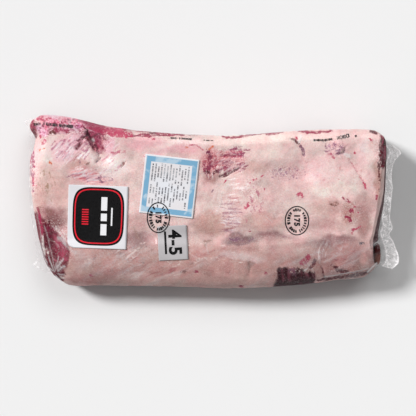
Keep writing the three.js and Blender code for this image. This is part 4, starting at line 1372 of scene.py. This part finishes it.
film_points, film_faces, film_where = closed_skin(330, 110, 36, 9, 9)
bag = new_mesh("bag_film", film_points, film_faces)
film_px, film_py = seen_at(film_points)
film_up = film_where["level"] > 0
film_top = smoothstep(film_where["level"], 0.0, 0.1)
pleat_size, pleat_at = pleats(film_px, film_py)
crinkled = strongest(film_px, film_py, CRINKLED, 0.0)
tent = np.zeros(len(film_points))
for name in LABELS:
    gap = outside_label(name, film_points[:, 0], film_points[:, 1])
    tent = np.maximum(tent, (1 - smoothstep(gap, 0.4, TENT_WIDTH)) * film_up)
pleat_size *= film_top * (1 - 0.75 * tent)
lift = (lerp(FILM_OVER_FORM, FILM_OVER_LABEL, tent) - 0.45 * crease_field(film_px, film_py, 1.5) * film_top
        + 0.35 * lumps(film_points) * film_top * (1 - tent))
film_shape = shaped(bag, film_points, np.where(film_where["level"] > -1, lift, 0.0), 0.0)
set_values(bag, "pleat_size", pleat_size)
set_values(bag, "pleat_at", pleat_at)
set_values(bag, "crinkle", crinkled * film_top * (1 - tent))
set_values(bag, "haze", milky(film_px, film_py) * film_up * (1 - 0.97 * tent))
place("bag_film", bag, shrink_film("clear_shrink_film"), "film", "bagged_striploin")
film_tree = BVHTree.FromPolygons(film_shape.tolist(), film_faces)
print("bag_film:", triangles_of(bag), "triangles, top", film_shape[:, 2].max().round(2), "mm")

# %% [markdown]
# Thin blood and juice gather in the pocket between the cut end and the gathered mouth of the bag. It
# is a small cushion of liquid under the film: dark red where it is deep, tan where the fat behind it
# shows through. Its colour runs with the place along the pocket and is mottled by noise.

# %% Piece: the juice in the pocket
POOL_PLACE, POOL_HEIGHT = (376.8, 254.0), 27.0      # picture pixels, mm above the table
POOL_HALF, POOL_POWER = (5.2, 15.0, 9.0), 2.6       # mm


def juice():
    material, tree = new_material("red_meat_juice")
    place_at = add(tree, "ShaderNodeTexCoord").outputs["Object"]
    across = add(tree, "ShaderNodeSeparateXYZ", (place_at,)).outputs["Y"]
    middle = under(*POOL_PLACE, POOL_HEIGHT)[1] * MM
    cloud = add(tree, "ShaderNodeTexNoise",
                {"Vector": place_at, "Scale": 1 / (4.0 * MM), "Detail": 3.0, "Roughness": 0.6})
    clouded = add(tree, "ShaderNodeMath", (cloud, 8 * MM, across), operation="MULTIPLY_ADD")
    deep = add(tree, "ShaderNodeMapRange", (clouded, middle, middle + 7 * MM, 0.0, 1.0), **EASED)
    swirl = add(tree, "ShaderNodeTexNoise", {"Vector": place_at, "Scale": 1 / (2.2 * MM), "Detail": 3.0,
                                             "Roughness": 0.6, "Distortion": 0.8})
    threads = add(tree, "ShaderNodeMapRange", (swirl, 0.5, 0.62, 0.0, 0.7), **EASED)
    shallow, pooled = (
        add(tree, "ShaderNodeMix", {0: share, 6: rgba(first), 7: rgba(second)}, data_type="RGBA").outputs[2]
        for share, first, second in ((threads, "#94655a", "#7a2026"), (cloud, "#641418", "#3c060a")))
    colour = add(tree, "ShaderNodeMix", {0: deep, 6: shallow, 7: pooled}, data_type="RGBA").outputs[2]
    surface = add(tree, "ShaderNodeBsdfPrincipled",
                  {"Base Color": colour, "Roughness": 0.18, "IOR": 1.35, "Specular IOR Level": 0.4})
    add(tree, "ShaderNodeOutputMaterial", {"Surface": surface})
    return material


def cushion(middle, half, power, around=48, up=24):
    """A closed squarish ball."""
    turn, climb = np.meshgrid(np.linspace(0, 2 * math.pi, around, endpoint=False),
                              np.linspace(-math.pi / 2, math.pi / 2, up + 1)[1:-1], indexing="ij")
    rounded_off = lambda v: np.sign(v) * np.abs(v) ** (2 / power)
    ball = np.stack([rounded_off(np.cos(climb)) * rounded_off(np.cos(turn)),
                     rounded_off(np.cos(climb)) * rounded_off(np.sin(turn)), rounded_off(np.sin(climb))], -1)
    k = np.arange(turn.size).reshape(turn.shape)
    beside = np.roll(k, -1, 0)
    faces = np.stack([k[:, :-1], beside[:, :-1], beside[:, 1:], k[:, 1:]], -1).reshape(-1, 4).tolist()
    low, high = turn.size, turn.size + 1
    faces += [[low, b, a] for a, b in zip(k[:, 0].tolist(), beside[:, 0].tolist())]
    faces += [[high, a, b] for a, b in zip(k[:, -1].tolist(), beside[:, -1].tolist())]
    points = np.concatenate([ball.reshape(-1, 3), [(0, 0, -1), (0, 0, 1)]])
    return points * np.array(half) + np.array(middle), faces


pool_points, pool_faces = cushion((*under(*POOL_PLACE, POOL_HEIGHT), POOL_HEIGHT), POOL_HALF, POOL_POWER)
pool = place("juice_pool", new_mesh("juice_pool", pool_points, pool_faces), juice(), "juice")
print("juice_pool:", triangles_of(pool.data), "triangles")

# %% [markdown]
# Paper is matt and bright with a faint tooth of fibres. The cards are cut on a 2 mm grid of their
# own so that they bend with the cap, and get a real thickness and a closed edge.

# %% Pieces: the label cards
def label_paper(name, colour, damp_colour):
    material, tree = new_material(name)
    place_at = add(tree, "ShaderNodeTexCoord").outputs["Object"]
    tooth = add(tree, "ShaderNodeTexNoise", {"Vector": place_at, "Scale": 1 / (0.9 * MM), "Detail": 3.0})
    cloud = add(tree, "ShaderNodeTexNoise", {"Vector": place_at, "Scale": 1 / (26 * MM), "Detail": 2.0})
    damp = add(tree, "ShaderNodeMapRange", (cloud, 0.35, 0.7, 0.0, 0.3))
    tone = add(tree, "ShaderNodeMix", {0: damp, 6: rgba(colour), 7: rgba(damp_colour)}, data_type="RGBA")
    bump = add(tree, "ShaderNodeBump", {"Strength": 0.25, "Distance": 0.05 * MM, "Height": tooth})
    surface = add(tree, "ShaderNodeBsdfPrincipled",
                  {"Base Color": tone.outputs[2], "Roughness": 0.62, "IOR": 1.5,
                   "Specular IOR Level": 0.3, "Normal": bump})
    add(tree, "ShaderNodeOutputMaterial", {"Surface": surface})
    return material


def card_outline(width, height, low_left):
    """Corner by corner round a card, in mm from its middle, with rounded corners."""
    outline = []
    for side_u, side_v, start in ((1, -1, -90), (1, 1, 0), (-1, 1, 90), (-1, -1, 180)):
        radius = low_left if (side_u, side_v) == (-1, -1) else CORNER_RADIUS
        for turn in np.linspace(start, start + 90, 5 if radius < 2 else 9):
            outline.append((side_u * (width / 2 - radius) + radius * math.cos(math.radians(turn)),
                            side_v * (height / 2 - radius) + radius * math.sin(math.radians(turn))))
    return np.array(outline)


def filled(outline, cell):
    """Triangles that fill an outline on a flat plan, with inner points a cell apart."""
    ends = np.roll(outline, -1, 0)
    rim = np.concatenate([lerp(a, b, np.arange(n)[:, None] / n) for a, b, n in
                          ((a, b, max(1, int(math.dist(a, b) / cell))) for a, b in zip(outline, ends))])
    made = plan_triangles(rim, cell, cell / 2, 0.45 * cell)
    return np.array([(v.x, v.y) for v in made[0]]), [list(f) for f in made[2]], len(rim)


def card(name):
    width, height, _, corner = LABELS[name]
    flat, faces, rim = filled(card_outline(width, height, corner), CARD_CELL)
    x, y = on_plan(name, flat[:, 0], flat[:, 1])
    z = height_under(form_tree, x, y, BULGE_HEIGHT) + CARD_OVER_FORM
    count = len(flat)
    points = np.concatenate([np.stack([x, y, z + CARD_THICK], 1), np.stack([x, y, z], 1)])
    under_faces = [[k + count for k in reversed(face)] for face in faces]
    edge = [[k, k + count, (k + 1) % rim + count, (k + 1) % rim] for k in range(rim)]
    return new_mesh(name + "_card", points, [*faces, *under_faces, *edge])


PAPERS = {   # label: colour, its colour where it is damp, slot
    "label_square": ("#e4e3e7", "#cfc8cf", "label_paper"),
    "label_blue": ("#e2e4ea", "#e3c9bd", "label_blue_paper"),
    "label_grade": ("#bdb9bb", "#aba6a9", "label_paper"),
}
for name, (*colours, slot) in PAPERS.items():
    piece = place(name + "_card", card(name), label_paper("matt_paper_" + name, *colours), slot, name)
    print(piece.name, triangles_of(piece.data), "triangles")

# %% [markdown]
# The print on the labels is plain: a black panel with a red line inside it and white bars, a blue
# frame round columns of fine bars, and a large number with a rule. Every shape is a thin sheet of
# ink of its own, draped on its card, because ink has its own colour and gloss.

# %% Ink, and how it is draped
PRINT_OVER_CARD, INK_OVER_FILM, INK_CELL, GLARE_MM = 0.09, 0.10, 2.0, 14   # mm


def ink(name, colour, roughness=0.45, spread=0.12, glare=0.0):
    material, tree = new_material(name)
    place_at = add(tree, "ShaderNodeTexCoord").outputs["Object"]
    speckle = add(tree, "ShaderNodeTexNoise", {"Vector": place_at, "Scale": 1 / (1.4 * MM), "Detail": 4.0})
    worn = add(tree, "ShaderNodeMapRange", (speckle, 0.45, 0.75, 0.0, spread))
    tone = add(tree, "ShaderNodeMix", {0: worn, 6: rgba(colour), 7: rgba("#b9b4b8")}, data_type="RGBA")
    sheen = add(tree, "ShaderNodeTexNoise", {"Vector": place_at, "Scale": 1 / (GLARE_MM * MM), "Detail": 2.0,
                                             "Roughness": 0.5, "Distortion": 0.6})
    bright = add(tree, "ShaderNodeMapRange", (sheen, 0.5, 0.64, 0.0, glare), **EASED)
    lit = add(tree, "ShaderNodeMix", {0: bright, 6: tone.outputs[2], 7: rgba("#e9f0f4")}, data_type="RGBA")
    surface = add(tree, "ShaderNodeBsdfPrincipled",
                  {"Base Color": lit.outputs[2], "Roughness": roughness, "IOR": 1.48,
                   "Specular IOR Level": 0.07})
    add(tree, "ShaderNodeOutputMaterial", {"Surface": surface})
    return material


INKS = {"black": ink("printed_black_ink", "#070608", spread=0.02), "red": ink("printed_red_ink", "#e2152b"),
        "white": ink("printed_white_ink", "#ececef", spread=0.3),
        "grey": ink("printed_grey_ink", "#54525a", spread=0.3, glare=0.4),
        "blue": ink("printed_blue_ink", "#76aaca", spread=0.2, glare=0.4),
        "stamp": ink("stamped_black_ink", "#131014", 0.3, 0.12)}


def drape_on_label(name, flat, above=PRINT_OVER_CARD):
    x, y = on_plan(name, flat[:, 0], flat[:, 1])
    height = height_under(form_tree, x, y, BULGE_HEIGHT) + CARD_OVER_FORM + CARD_THICK + above
    return np.stack([x, y, height], 1)


def drape_on_film(px, py):
    """Points on the film under places in the picture: two rounds find the height."""
    height = np.full(len(px), float(FAT_HEIGHT))
    for _ in range(2):
        x, y = under(px, py, height)
        height = height_under(film_tree, x, y, FAT_HEIGHT)
    return np.stack([x, y, height + INK_OVER_FILM], 1)


def ring_strip(outer, inner):
    """A closed strip between two outlines of as many points each."""
    n = len(outer)
    faces = [[k, (k + 1) % n, n + (k + 1) % n, n + k] for k in range(n)]
    return np.concatenate([outer, inner]), faces


def print_piece(name, colour, parts):
    """Joins (points, faces) parts into one printed piece."""
    points, faces, start = [], [], 0
    for part_points, part_faces in parts:
        points.append(part_points)
        faces += [[k + start for k in face] for face in part_faces]
        start += len(part_points)
    mesh = new_mesh(name, np.concatenate(points), faces)
    if normals_of(mesh)[:, 2].mean() < 0:
        mesh.flip_normals()
    return place(name, mesh, INKS[colour], "ink")


def rounded(half_u, half_v, power=4.0, count=96):
    """A squarish oval of as many points as asked."""
    t = np.linspace(0, 2 * math.pi, count, endpoint=False)
    c, s = np.cos(t), np.sin(t)
    return np.stack([half_u * np.sign(c) * np.abs(c) ** (2 / power),
                     half_v * np.sign(s) * np.abs(s) ** (2 / power)], 1)


def bar(u0, v0, u1, v1, cell=INK_CELL):
    """A bar between two corners, cut into cells so that it can bend."""
    nu, nv = max(1, round(abs(u1 - u0) / cell)), max(1, round(abs(v1 - v0) / cell))
    u, v = np.meshgrid(np.linspace(u0, u1, nu + 1), np.linspace(v0, v1, nv + 1), indexing="ij")
    return np.stack([u.ravel(), v.ravel()], 1), grid_faces(np.arange(u.size).reshape(u.shape)).tolist()


print("inks:", ", ".join(INKS))

# %% [markdown]
# Fine print repeats: rows of small marks on the blue label, marks round the two stamps and along the
# three code rows. A Geometry Nodes tree makes a row of them: points on a line, a bar on each, its
# width drawn at random from a fixed seed, and a share left out as the gaps between words.

# %% Geometry Nodes: a row of small marks
def row_tree():
    tree = bpy.data.node_groups.new("row_of_marks", "GeometryNodeTree")
    face = tree.interface
    face.new_socket("Geometry", in_out="OUTPUT", socket_type="NodeSocketGeometry")
    for name, kind, value in (("Length", "NodeSocketFloat", 0.05), ("Pitch", "NodeSocketFloat", 0.001),
                              ("Mark Height", "NodeSocketFloat", 0.001), ("Filled", "NodeSocketFloat", 0.8),
                              ("Seed", "NodeSocketInt", 1), ("Ink", "NodeSocketMaterial", None)):
        socket = face.new_socket(name, in_out="INPUT", socket_type=kind)
        if value is not None:
            socket.default_value = value
    given = add(tree, "NodeGroupInput").outputs
    steps = add(tree, "ShaderNodeMath", (given["Length"], given["Pitch"]), operation="DIVIDE")
    count = add(tree, "FunctionNodeFloatToInt", (steps,), rounding_mode="FLOOR")
    offset = add(tree, "ShaderNodeCombineXYZ", {"X": given["Pitch"]})
    line = add(tree, "GeometryNodeMeshLine", {"Count": count, "Offset": offset}, mode="OFFSET")
    keep = add(tree, "FunctionNodeRandomValue", {"Probability": given["Filled"], "Seed": given["Seed"]},
               data_type="BOOLEAN")
    mark = add(tree, "GeometryNodeMeshGrid", {"Size X": given["Pitch"], "Size Y": given["Mark Height"],
                                              "Vertices X": 2, "Vertices Y": 2})
    width, height = (add(tree, "FunctionNodeRandomValue", {2: least, 3: most, "Seed": seed},
                         data_type="FLOAT")
                     for least, most, seed in ((0.35, 0.95, given["Seed"]), (0.65, 1.0, 7)))
    scale = add(tree, "ShaderNodeCombineXYZ", (width.outputs[1], height.outputs[1], 1.0))
    marks = add(tree, "GeometryNodeInstanceOnPoints",
                {"Points": line, "Selection": keep.outputs[3], "Instance": mark, "Scale": scale})
    real = add(tree, "GeometryNodeRealizeInstances", (marks,))
    inked = add(tree, "GeometryNodeSetMaterial", {0: real, "Material": given["Ink"]})
    add(tree, "NodeGroupOutput", (inked,))
    return tree


ROW_OF_MARKS = row_tree()


def made_by(tree, **inputs):
    """Runs a tree once and returns its points on the flat, in mm, and its faces."""
    holder = bpy.data.objects.new("holder", bpy.data.meshes.new("holder"))
    bpy.context.scene.collection.objects.link(holder)
    modifier = holder.modifiers.new("marks", "NODES")
    modifier.node_group = tree
    sockets = {item.name: item.identifier for item in tree.interface.items_tree if item.in_out == "INPUT"}
    for name, value in inputs.items():
        modifier[sockets[name.replace("_", " ")]] = value
    evaluated = holder.evaluated_get(bpy.context.evaluated_depsgraph_get())
    mesh = bpy.data.meshes.new_from_object(evaluated)
    holder.modifiers.remove(modifier)
    flat = np.array([(v.co.x, v.co.y) for v in mesh.vertices]).reshape(-1, 2) / MM
    faces = [list(p.vertices) for p in mesh.polygons]
    bpy.data.objects.remove(holder)
    bpy.data.meshes.remove(mesh)
    return flat, faces


def row(length, pitch, height, filled_share, seed):
    return made_by(ROW_OF_MARKS, Length=length * MM, Pitch=pitch * MM, Mark_Height=height * MM,
                   Filled=filled_share, Seed=seed, Ink=INKS["black"])


print("a 40 mm row:", len(row(40, 1.2, 1.5, 0.8, 3)[1]), "marks")

# %% [markdown]
# The square label's panel fills most of the paper. The red line runs inside its edge, and white and
# red bars lie across it.

# %% Print on the square label
PANEL_HALF = (34.5, 39.0)
PANEL_MIDDLE = (1.0, 0.8)
RED_LINE_INSET, RED_LINE_WIDE = 2.4, 1.5


def moved(part, u, v):
    return part[0] + np.array([u, v]), part[1]


def on_square(part, above=PRINT_OVER_CARD):
    flat, faces = moved(part, *PANEL_MIDDLE)
    return drape_on_label("label_square", flat, above), faces


panel = filled(rounded(*PANEL_HALF), INK_CELL)[:2]
print_piece("square_panel_black", "black", [on_square(panel)])
line_outer, line_inner = (rounded(PANEL_HALF[0] - inset, PANEL_HALF[1] - inset)
                          for inset in (RED_LINE_INSET, RED_LINE_INSET + RED_LINE_WIDE))
RED_BARS = [(-22, k, -13, k + 1.6) for k in (-11.5, -8.3, -5.1, -1.9, 1.3, 4.5, 7.7)]
print_piece("square_panel_red", "red",
            [on_square(ring_strip(line_outer, line_inner), 2 * PRINT_OVER_CARD)]
            + [on_square(bar(*corners), 2 * PRINT_OVER_CARD) for corners in RED_BARS])
WHITE_BARS = [(3.5, 8, 11.5, 26), (3.5, -6, 11.5, 4), (3.5, -25, 11.5, -10), (17, -12, 19, 12)]
print_piece("square_panel_white", "white",
            [on_square(bar(*corners), 2 * PRINT_OVER_CARD) for corners in WHITE_BARS])
print("panel:", 2 * PANEL_HALF[0], "x", 2 * PANEL_HALF[1], "mm")

# %% [markdown]
# The blue label has a frame, wider at the head, and columns of fine marks inside it that run along
# its long side. Their lengths and gaps follow a simple rule with a fixed seed.

# %% Print on the blue label
FRAME_EDGE, FRAME_WIDE, FRAME_HEAD = 2.2, 6.4, 7.0
COLUMN_PITCH, COLUMN_HEIGHT = 4.0, 2.1
half_w, half_h = LABELS["label_blue"][0] / 2 - FRAME_EDGE, LABELS["label_blue"][1] / 2 - FRAME_EDGE
frame_bars = [bar(-half_w, half_h - FRAME_HEAD, half_w, half_h),
              bar(-half_w, -half_h, half_w, FRAME_HEAD - half_h),
              bar(-half_w, FRAME_HEAD - half_h, FRAME_WIDE - half_w, half_h - FRAME_HEAD),
              bar(half_w - FRAME_WIDE, FRAME_HEAD - half_h, half_w, half_h - FRAME_HEAD)]
print_piece("blue_frame", "blue", [(drape_on_label("label_blue", flat), faces) for flat, faces in frame_bars])


def upright(part, u, v):
    """Turns a row to run down the label from a starting place."""
    flat, faces = part
    return np.stack([u + flat[:, 1], v - flat[:, 0]], 1), faces


columns = []
draw = np.random.default_rng(12)
for k, u in enumerate(np.arange(FRAME_WIDE - half_w + 3.2, half_w - FRAME_WIDE - 1.5, COLUMN_PITCH)):
    v = half_h - FRAME_HEAD - 1.5 - draw.uniform(0, 8 if k % 3 else 2)
    while v > FRAME_HEAD - half_h + 8:
        length = min(draw.uniform(9, 26), v - FRAME_HEAD + half_h - 2)
        columns.append(upright(row(length, 1.15, COLUMN_HEIGHT, 0.86, 100 * k + len(columns)), u, v))
        v -= length + draw.uniform(2.5, 9)
print_piece("blue_label_marks", "grey",
            [(drape_on_label("label_blue", flat, 2 * PRINT_OVER_CARD), faces) for flat, faces in columns])
print("columns of marks:", len(columns))

# %% [markdown]
# The small label carries a plain number with a rule beside it, printed to be read down the side.

# %% Print on the grade label
NUMBER, NUMBER_TALL, NUMBER_BOLD, NUMBER_MIDDLE = "4-5", 18.0, 0.035, (3.2, 0.8)
NUMBER_SPACE, NUMBER_CUTS, NUMBER_CELL = 1.12, 3, 0.09   # long straight strokes are cut so that they bend
RULE = (-11.0, -14.6, -8.2, 15.8)


def number_print(body, tall, bold):
    """A number that reads down the side, round its own middle, in mm."""
    text = bpy.data.curves.new("number", "FONT")
    text.body, text.align_x, text.align_y = body, "CENTER", "CENTER"
    text.size, text.offset, text.resolution_u, text.space_character = 1.0, bold, 6, NUMBER_SPACE
    holder = bpy.data.objects.new("number", text)
    bpy.context.scene.collection.objects.link(holder)
    mesh = bpy.data.meshes.new_from_object(holder.evaluated_get(bpy.context.evaluated_depsgraph_get()))
    cut = bmesh.new()
    cut.from_mesh(mesh)
    for _ in range(NUMBER_CUTS):
        bmesh.ops.subdivide_edges(cut, edges=[e for e in cut.edges if e.calc_length() > NUMBER_CELL], cuts=1)
        bmesh.ops.triangulate(cut, faces=cut.faces[:])
    cut.to_mesh(mesh)
    cut.free()
    flat = np.array([(v.co.x, v.co.y) for v in mesh.vertices])
    faces = [list(p.vertices) for p in mesh.polygons]
    bpy.data.objects.remove(holder)
    bpy.data.meshes.remove(mesh)
    flat -= (flat.min(0) + flat.max(0)) / 2
    flat *= tall / (flat[:, 1].max() - flat[:, 1].min())
    return np.stack([flat[:, 1], -flat[:, 0]], 1), faces


grade_parts = [moved(number_print(NUMBER, NUMBER_TALL, NUMBER_BOLD), *NUMBER_MIDDLE), bar(*RULE)]
print_piece("grade_number", "black",
            [(drape_on_label("label_grade", flat), faces) for flat, faces in grade_parts])
print("number:", NUMBER)

# %% [markdown]
# Two oval stamps and three rows of code were printed on the bag itself, so they lie on the film and
# bend with it. The stamps hold a thin ring, a ring of short marks and a few strokes in the middle.

# %% Stamps and code rows on the film
STAMPS = {"stamp_left": (158.3, 217.6, 11.6, 15.4), "stamp_right": (296.9, 220.6, 12.2, 14.7)}
RING_WIDE_PX, MARK_GAP_PX, MARK_LONG_PX = 1.0, 1.1, 3.3
STAMP_MARKS, STAMP_NUMBER, STAMP_NUMBER_TALL = 26, "175", 6.0
CODE_ROWS = {   # path in picture pixels, mark height in pixels, share filled
    "code_row_left": ([(33.6, 124.4), (44, 123.6), (60, 125.4), (74, 126.6)], 3.4, 0.94),
    "code_row_middle": ([(170.4, 137.8), (182, 138.4), (193, 139.2)], 2.0, 0.9),
    "code_row_dash": ([(203.6, 140.0), (209, 140.5), (216, 140.4)], 0.9, 1.0),
    "code_row_faint": ([(149, 132.4), (158, 133.2)], 1.1, 0.6),
    "code_row_right": ([(313.6, 140.0), (324, 140.2), (334, 138.6)], 2.5, 0.92),
    "code_row_right_2": ([(336, 138.2), (345, 136.4), (351, 134.6)], 4.2, 0.95),
    "code_row_right_3": ([(355, 136.4), (358.4, 134.2)], 2.2, 0.9),
}


def stamp(name):
    x, y, half_x, half_y = STAMPS[name]
    outer = rounded(half_x, half_y, 2.0, 120)
    inner = rounded(half_x - RING_WIDE_PX, half_y - RING_WIDE_PX, 2.0, 120)
    parts = [ring_strip(outer, inner)]
    length = 2 * math.pi * (half_x + half_y) / 2
    flat, faces = row(length, length / STAMP_MARKS, MARK_LONG_PX, 0.82, 31 if name == "stamp_left" else 57)
    turn = flat[:, 0] / length * 2 * math.pi
    from_edge = MARK_GAP_PX + RING_WIDE_PX + MARK_LONG_PX / 2 - flat[:, 1]
    round_it = np.stack([(half_x - from_edge) * np.cos(turn), (half_y - from_edge) * np.sin(turn)], 1)
    parts.append((round_it, faces))
    parts.append(number_print(STAMP_NUMBER, STAMP_NUMBER_TALL, 0.045))
    draped = [(drape_on_film(x + flat[:, 0], y - flat[:, 1]), faces) for flat, faces in parts]
    return print_piece(name, "stamp", draped)


def code_row(name):
    path, height, filled_share = CODE_ROWS[name]
    path = np.array(path)
    along = np.concatenate([[0], np.cumsum(np.hypot(*np.diff(path, axis=0).T))])
    flat, faces = row(along[-1], 1.3 if filled_share < 1 else along[-1] / 3.01, height, filled_share,
                      len(name) + int(height * 10))
    slope_x = np.gradient(path[:, 0], along)
    slope_y = np.gradient(path[:, 1], along)
    x = np.interp(flat[:, 0], along, path[:, 0]) + flat[:, 1] * np.interp(flat[:, 0], along, slope_y)
    y = np.interp(flat[:, 0], along, path[:, 1]) - flat[:, 1] * np.interp(flat[:, 0], along, slope_x)
    return drape_on_film(x, y), faces


for name in STAMPS:
    print(name, len(stamp(name).data.polygons), "faces")
print_piece("code_rows", "stamp", [code_row(name) for name in CODE_ROWS])

# %% [markdown]
# The bag is longer than the loin. At the right its gathered mouth stands out as a crinkled frill, at
# the left a flat skirt of film bridges the hollow of the end and stands out at two corners as ears.
# The frill gives out a little light of its own, a painted glow in its milky folds that keeps them bright in
# the loin's shadow. Each is a thin closed strip: a grid folded by noise, then the same grid a little lower.

# %% Pieces: the frill and the skirt
FILM_ROOT, STRIP_THICK, FRILL_PAINTED_GLOW = 9, 0.35, 0.24
TAIL_ROOT_ENDS = (-83, 79.5)
TAIL_EDGE = [(-91, 244.6), (-84, 252.6), (-75, 254.2), (-56, 248), (-43, 241.5), (-35, 245.5), (-20, 242),
             (18, 245.7), (36, 244.6), (56, 248), (68, 257), (78, 245.7)]
SKIRT_ROOT_ENDS = (-92, 109)
SKIRT_EDGE = [(-95.5, -227), (-84.5, -245), (-78.5, -239.5), (-56, -241.8), (-10, -248.2), (40, -250.8),
              (90, -249.3), (102, -251), (111.5, -256.4), (114.5, -246)]


def film_strip(name, side, end, root_ends, edge, fold_mm, rows=300, columns=22):
    out, share = np.meshgrid(np.linspace(0, 1, columns + 1), np.linspace(0, 1, rows + 1), indexing="ij")
    grid = np.arange(out.size).reshape(out.shape)
    out, share = out.ravel(), share.ravel()
    root_y, edge_y = lerp(*root_ends, share), lerp(edge[0][0], edge[-1][0], share)
    x = lerp(smooth_through(end, root_y) - side * FILM_ROOT, smooth_through(edge, edge_y), out)
    y = lerp(root_y, edge_y, out)
    folds = mottle(x, y, 9, 97) - 0.5 + 0.6 * np.abs(mottle(x * 1.4, y * 0.8, 5.5, 101, 2) - 0.5)
    z = BULGE_HEIGHT + fold_mm * smoothstep(out, 0.25, 0.75) * 2.2 * folds
    top = np.stack([x + PLAN_SHIFT[0], y + PLAN_SHIFT[1], z + STRIP_THICK / 2], 1)
    points = np.concatenate([top, top - (0, 0, STRIP_THICK)])
    quads, rim = grid_faces(grid), grid_rim(grid)
    edge_quads = np.stack([rim, rim + grid.size, np.roll(rim, -1) + grid.size, np.roll(rim, -1)], -1)
    faces = np.concatenate([quads, quads[:, ::-1] + grid.size, edge_quads])
    if side < 0:
        faces = faces[:, ::-1]
    mesh = new_mesh(name, points, faces.tolist())
    return mesh, np.tile(out, 2), np.tile(share, 2)


tail, tail_out, _ = film_strip("bag_frill", 1, MOUTH_END, TAIL_ROOT_ENDS, TAIL_EDGE, 4.5)
tail_points = np.array([v.co[:] for v in tail.vertices]) / MM
tail_noise = mottle(tail_points[:, 0] * 1.8, tail_points[:, 1] * 0.7, 6, 103, 2)
ridges = smoothstep(np.abs(tail_noise - 0.5), 0.07, 0.0)
hems = np.maximum(smoothstep(tail_out, 0.93, 0.98),
                  0.7 * (1 - smoothstep(np.abs(tail_out - 0.5), 0.01, 0.06)))
set_values(tail, "haze", smoothstep(tail_out, 0.43, 0.5) * np.maximum(0.12 + 0.6 * ridges, 0.85 * hems))
set_values(tail, "crinkle", 0.3 * smoothstep(tail_out, 0.40, 0.5))
# the gathered film's painted glow: its milky folds give out light, though no lamp is there
place("bag_frill", tail, shrink_film("gathered_shrink_film", 0.1, FRILL_PAINTED_GLOW), "film", "bagged_striploin")

skirt, skirt_out, skirt_share = film_strip("bag_skirt", -1, BLIND_END, SKIRT_ROOT_ENDS, SKIRT_EDGE, 1.6)
edge_line = smoothstep(skirt_out, 0.82, 0.97)
ear_top, ear_low = smoothstep(skirt_share, 0.93, 0.97), 1 - smoothstep(skirt_share, 0.04, 0.1)
set_values(skirt, "haze", 0.01 + 0.06 * edge_line + 0.10 * np.maximum(ear_top, ear_low))
set_values(skirt, "crinkle", 0.06 * np.maximum(ear_top, ear_low))
place("bag_skirt", skirt, shrink_film("flat_shrink_film", 0.02), "film", "bagged_striploin")
print("frill and skirt:", triangles_of(tail), triangles_of(skirt), "triangles")

# %% [markdown]
# The table is a plain pale floor. Two soft lights make the shadow of the photograph: the key from
# the left and a little beyond, and a wide one from the far right, which keeps the long edge nearest
# the camera's foot dark and opens the shadow at the right. A dim even world fills the rest.

# %% Floor and lights
FLOOR_HALF, FLOOR_UNDER, FLOOR_ALBEDO = 4000, 0.4, "#e7e7e7"   # mm, mm
LIGHTS = {   # degrees round from the left, height in degrees, strength, softness in degrees
    "key_light": (29, 40, 3.23, 14),
    "far_light": (115, 50, 0.77, 35),
}
WORLD_STRENGTH = 0.253

floor_corners = [(x * FLOOR_HALF, y * FLOOR_HALF, 0) for x, y in ((-1, -1), (1, -1), (1, 1), (-1, 1))]
floor_mesh = new_mesh("floor", floor_corners, [[0, 1, 2, 3]])
floor_material, floor_nodes = new_material("matt_pale_floor")
matt = add(floor_nodes, "ShaderNodeBsdfPrincipled",
           {"Base Color": rgba(FLOOR_ALBEDO), "Roughness": 0.9, "Specular IOR Level": 0.1})
add(floor_nodes, "ShaderNodeOutputMaterial", {"Surface": matt})
floor = bpy.data.objects.new("floor", floor_mesh)
floor_mesh.materials.append(floor_material)
floor.location.z = -FLOOR_UNDER * MM
bpy.context.scene.collection.objects.link(floor)
floor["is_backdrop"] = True

for name, (round_from_left, height, strength, softness) in LIGHTS.items():
    light_data = bpy.data.lights.new(name, "SUN")
    light_data.energy, light_data.angle = strength, math.radians(softness)
    light = bpy.data.objects.new(name, light_data)
    turn, climb = math.radians(round_from_left), math.radians(height)
    towards = Vector((-math.cos(turn) * math.cos(climb), math.sin(turn) * math.cos(climb), math.sin(climb)))
    light.rotation_mode = "QUATERNION"
    light.rotation_quaternion = towards.to_track_quat("Z", "Y")
    bpy.context.scene.collection.objects.link(light)

world = bpy.data.worlds.new("even_fill")
world.use_nodes = True
background = world.node_tree.nodes["Background"]
background.inputs["Color"].default_value = (1.0, 1.0, 1.0, 1.0)
background.inputs["Strength"].default_value = WORLD_STRENGTH
bpy.context.scene.world = world
bpy.context.scene.view_settings.view_transform = "Standard"
print("lights:", ", ".join(LIGHTS))

# %% [markdown]
# The visual model has to fill the same box as the solids, so both boxes are written down.

# %% Sizes, and the end
visual_box = [list(corner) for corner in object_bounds()]
print("visual box in mm:", [[round(v * 1000, 1) for v in corner] for corner in visual_box])
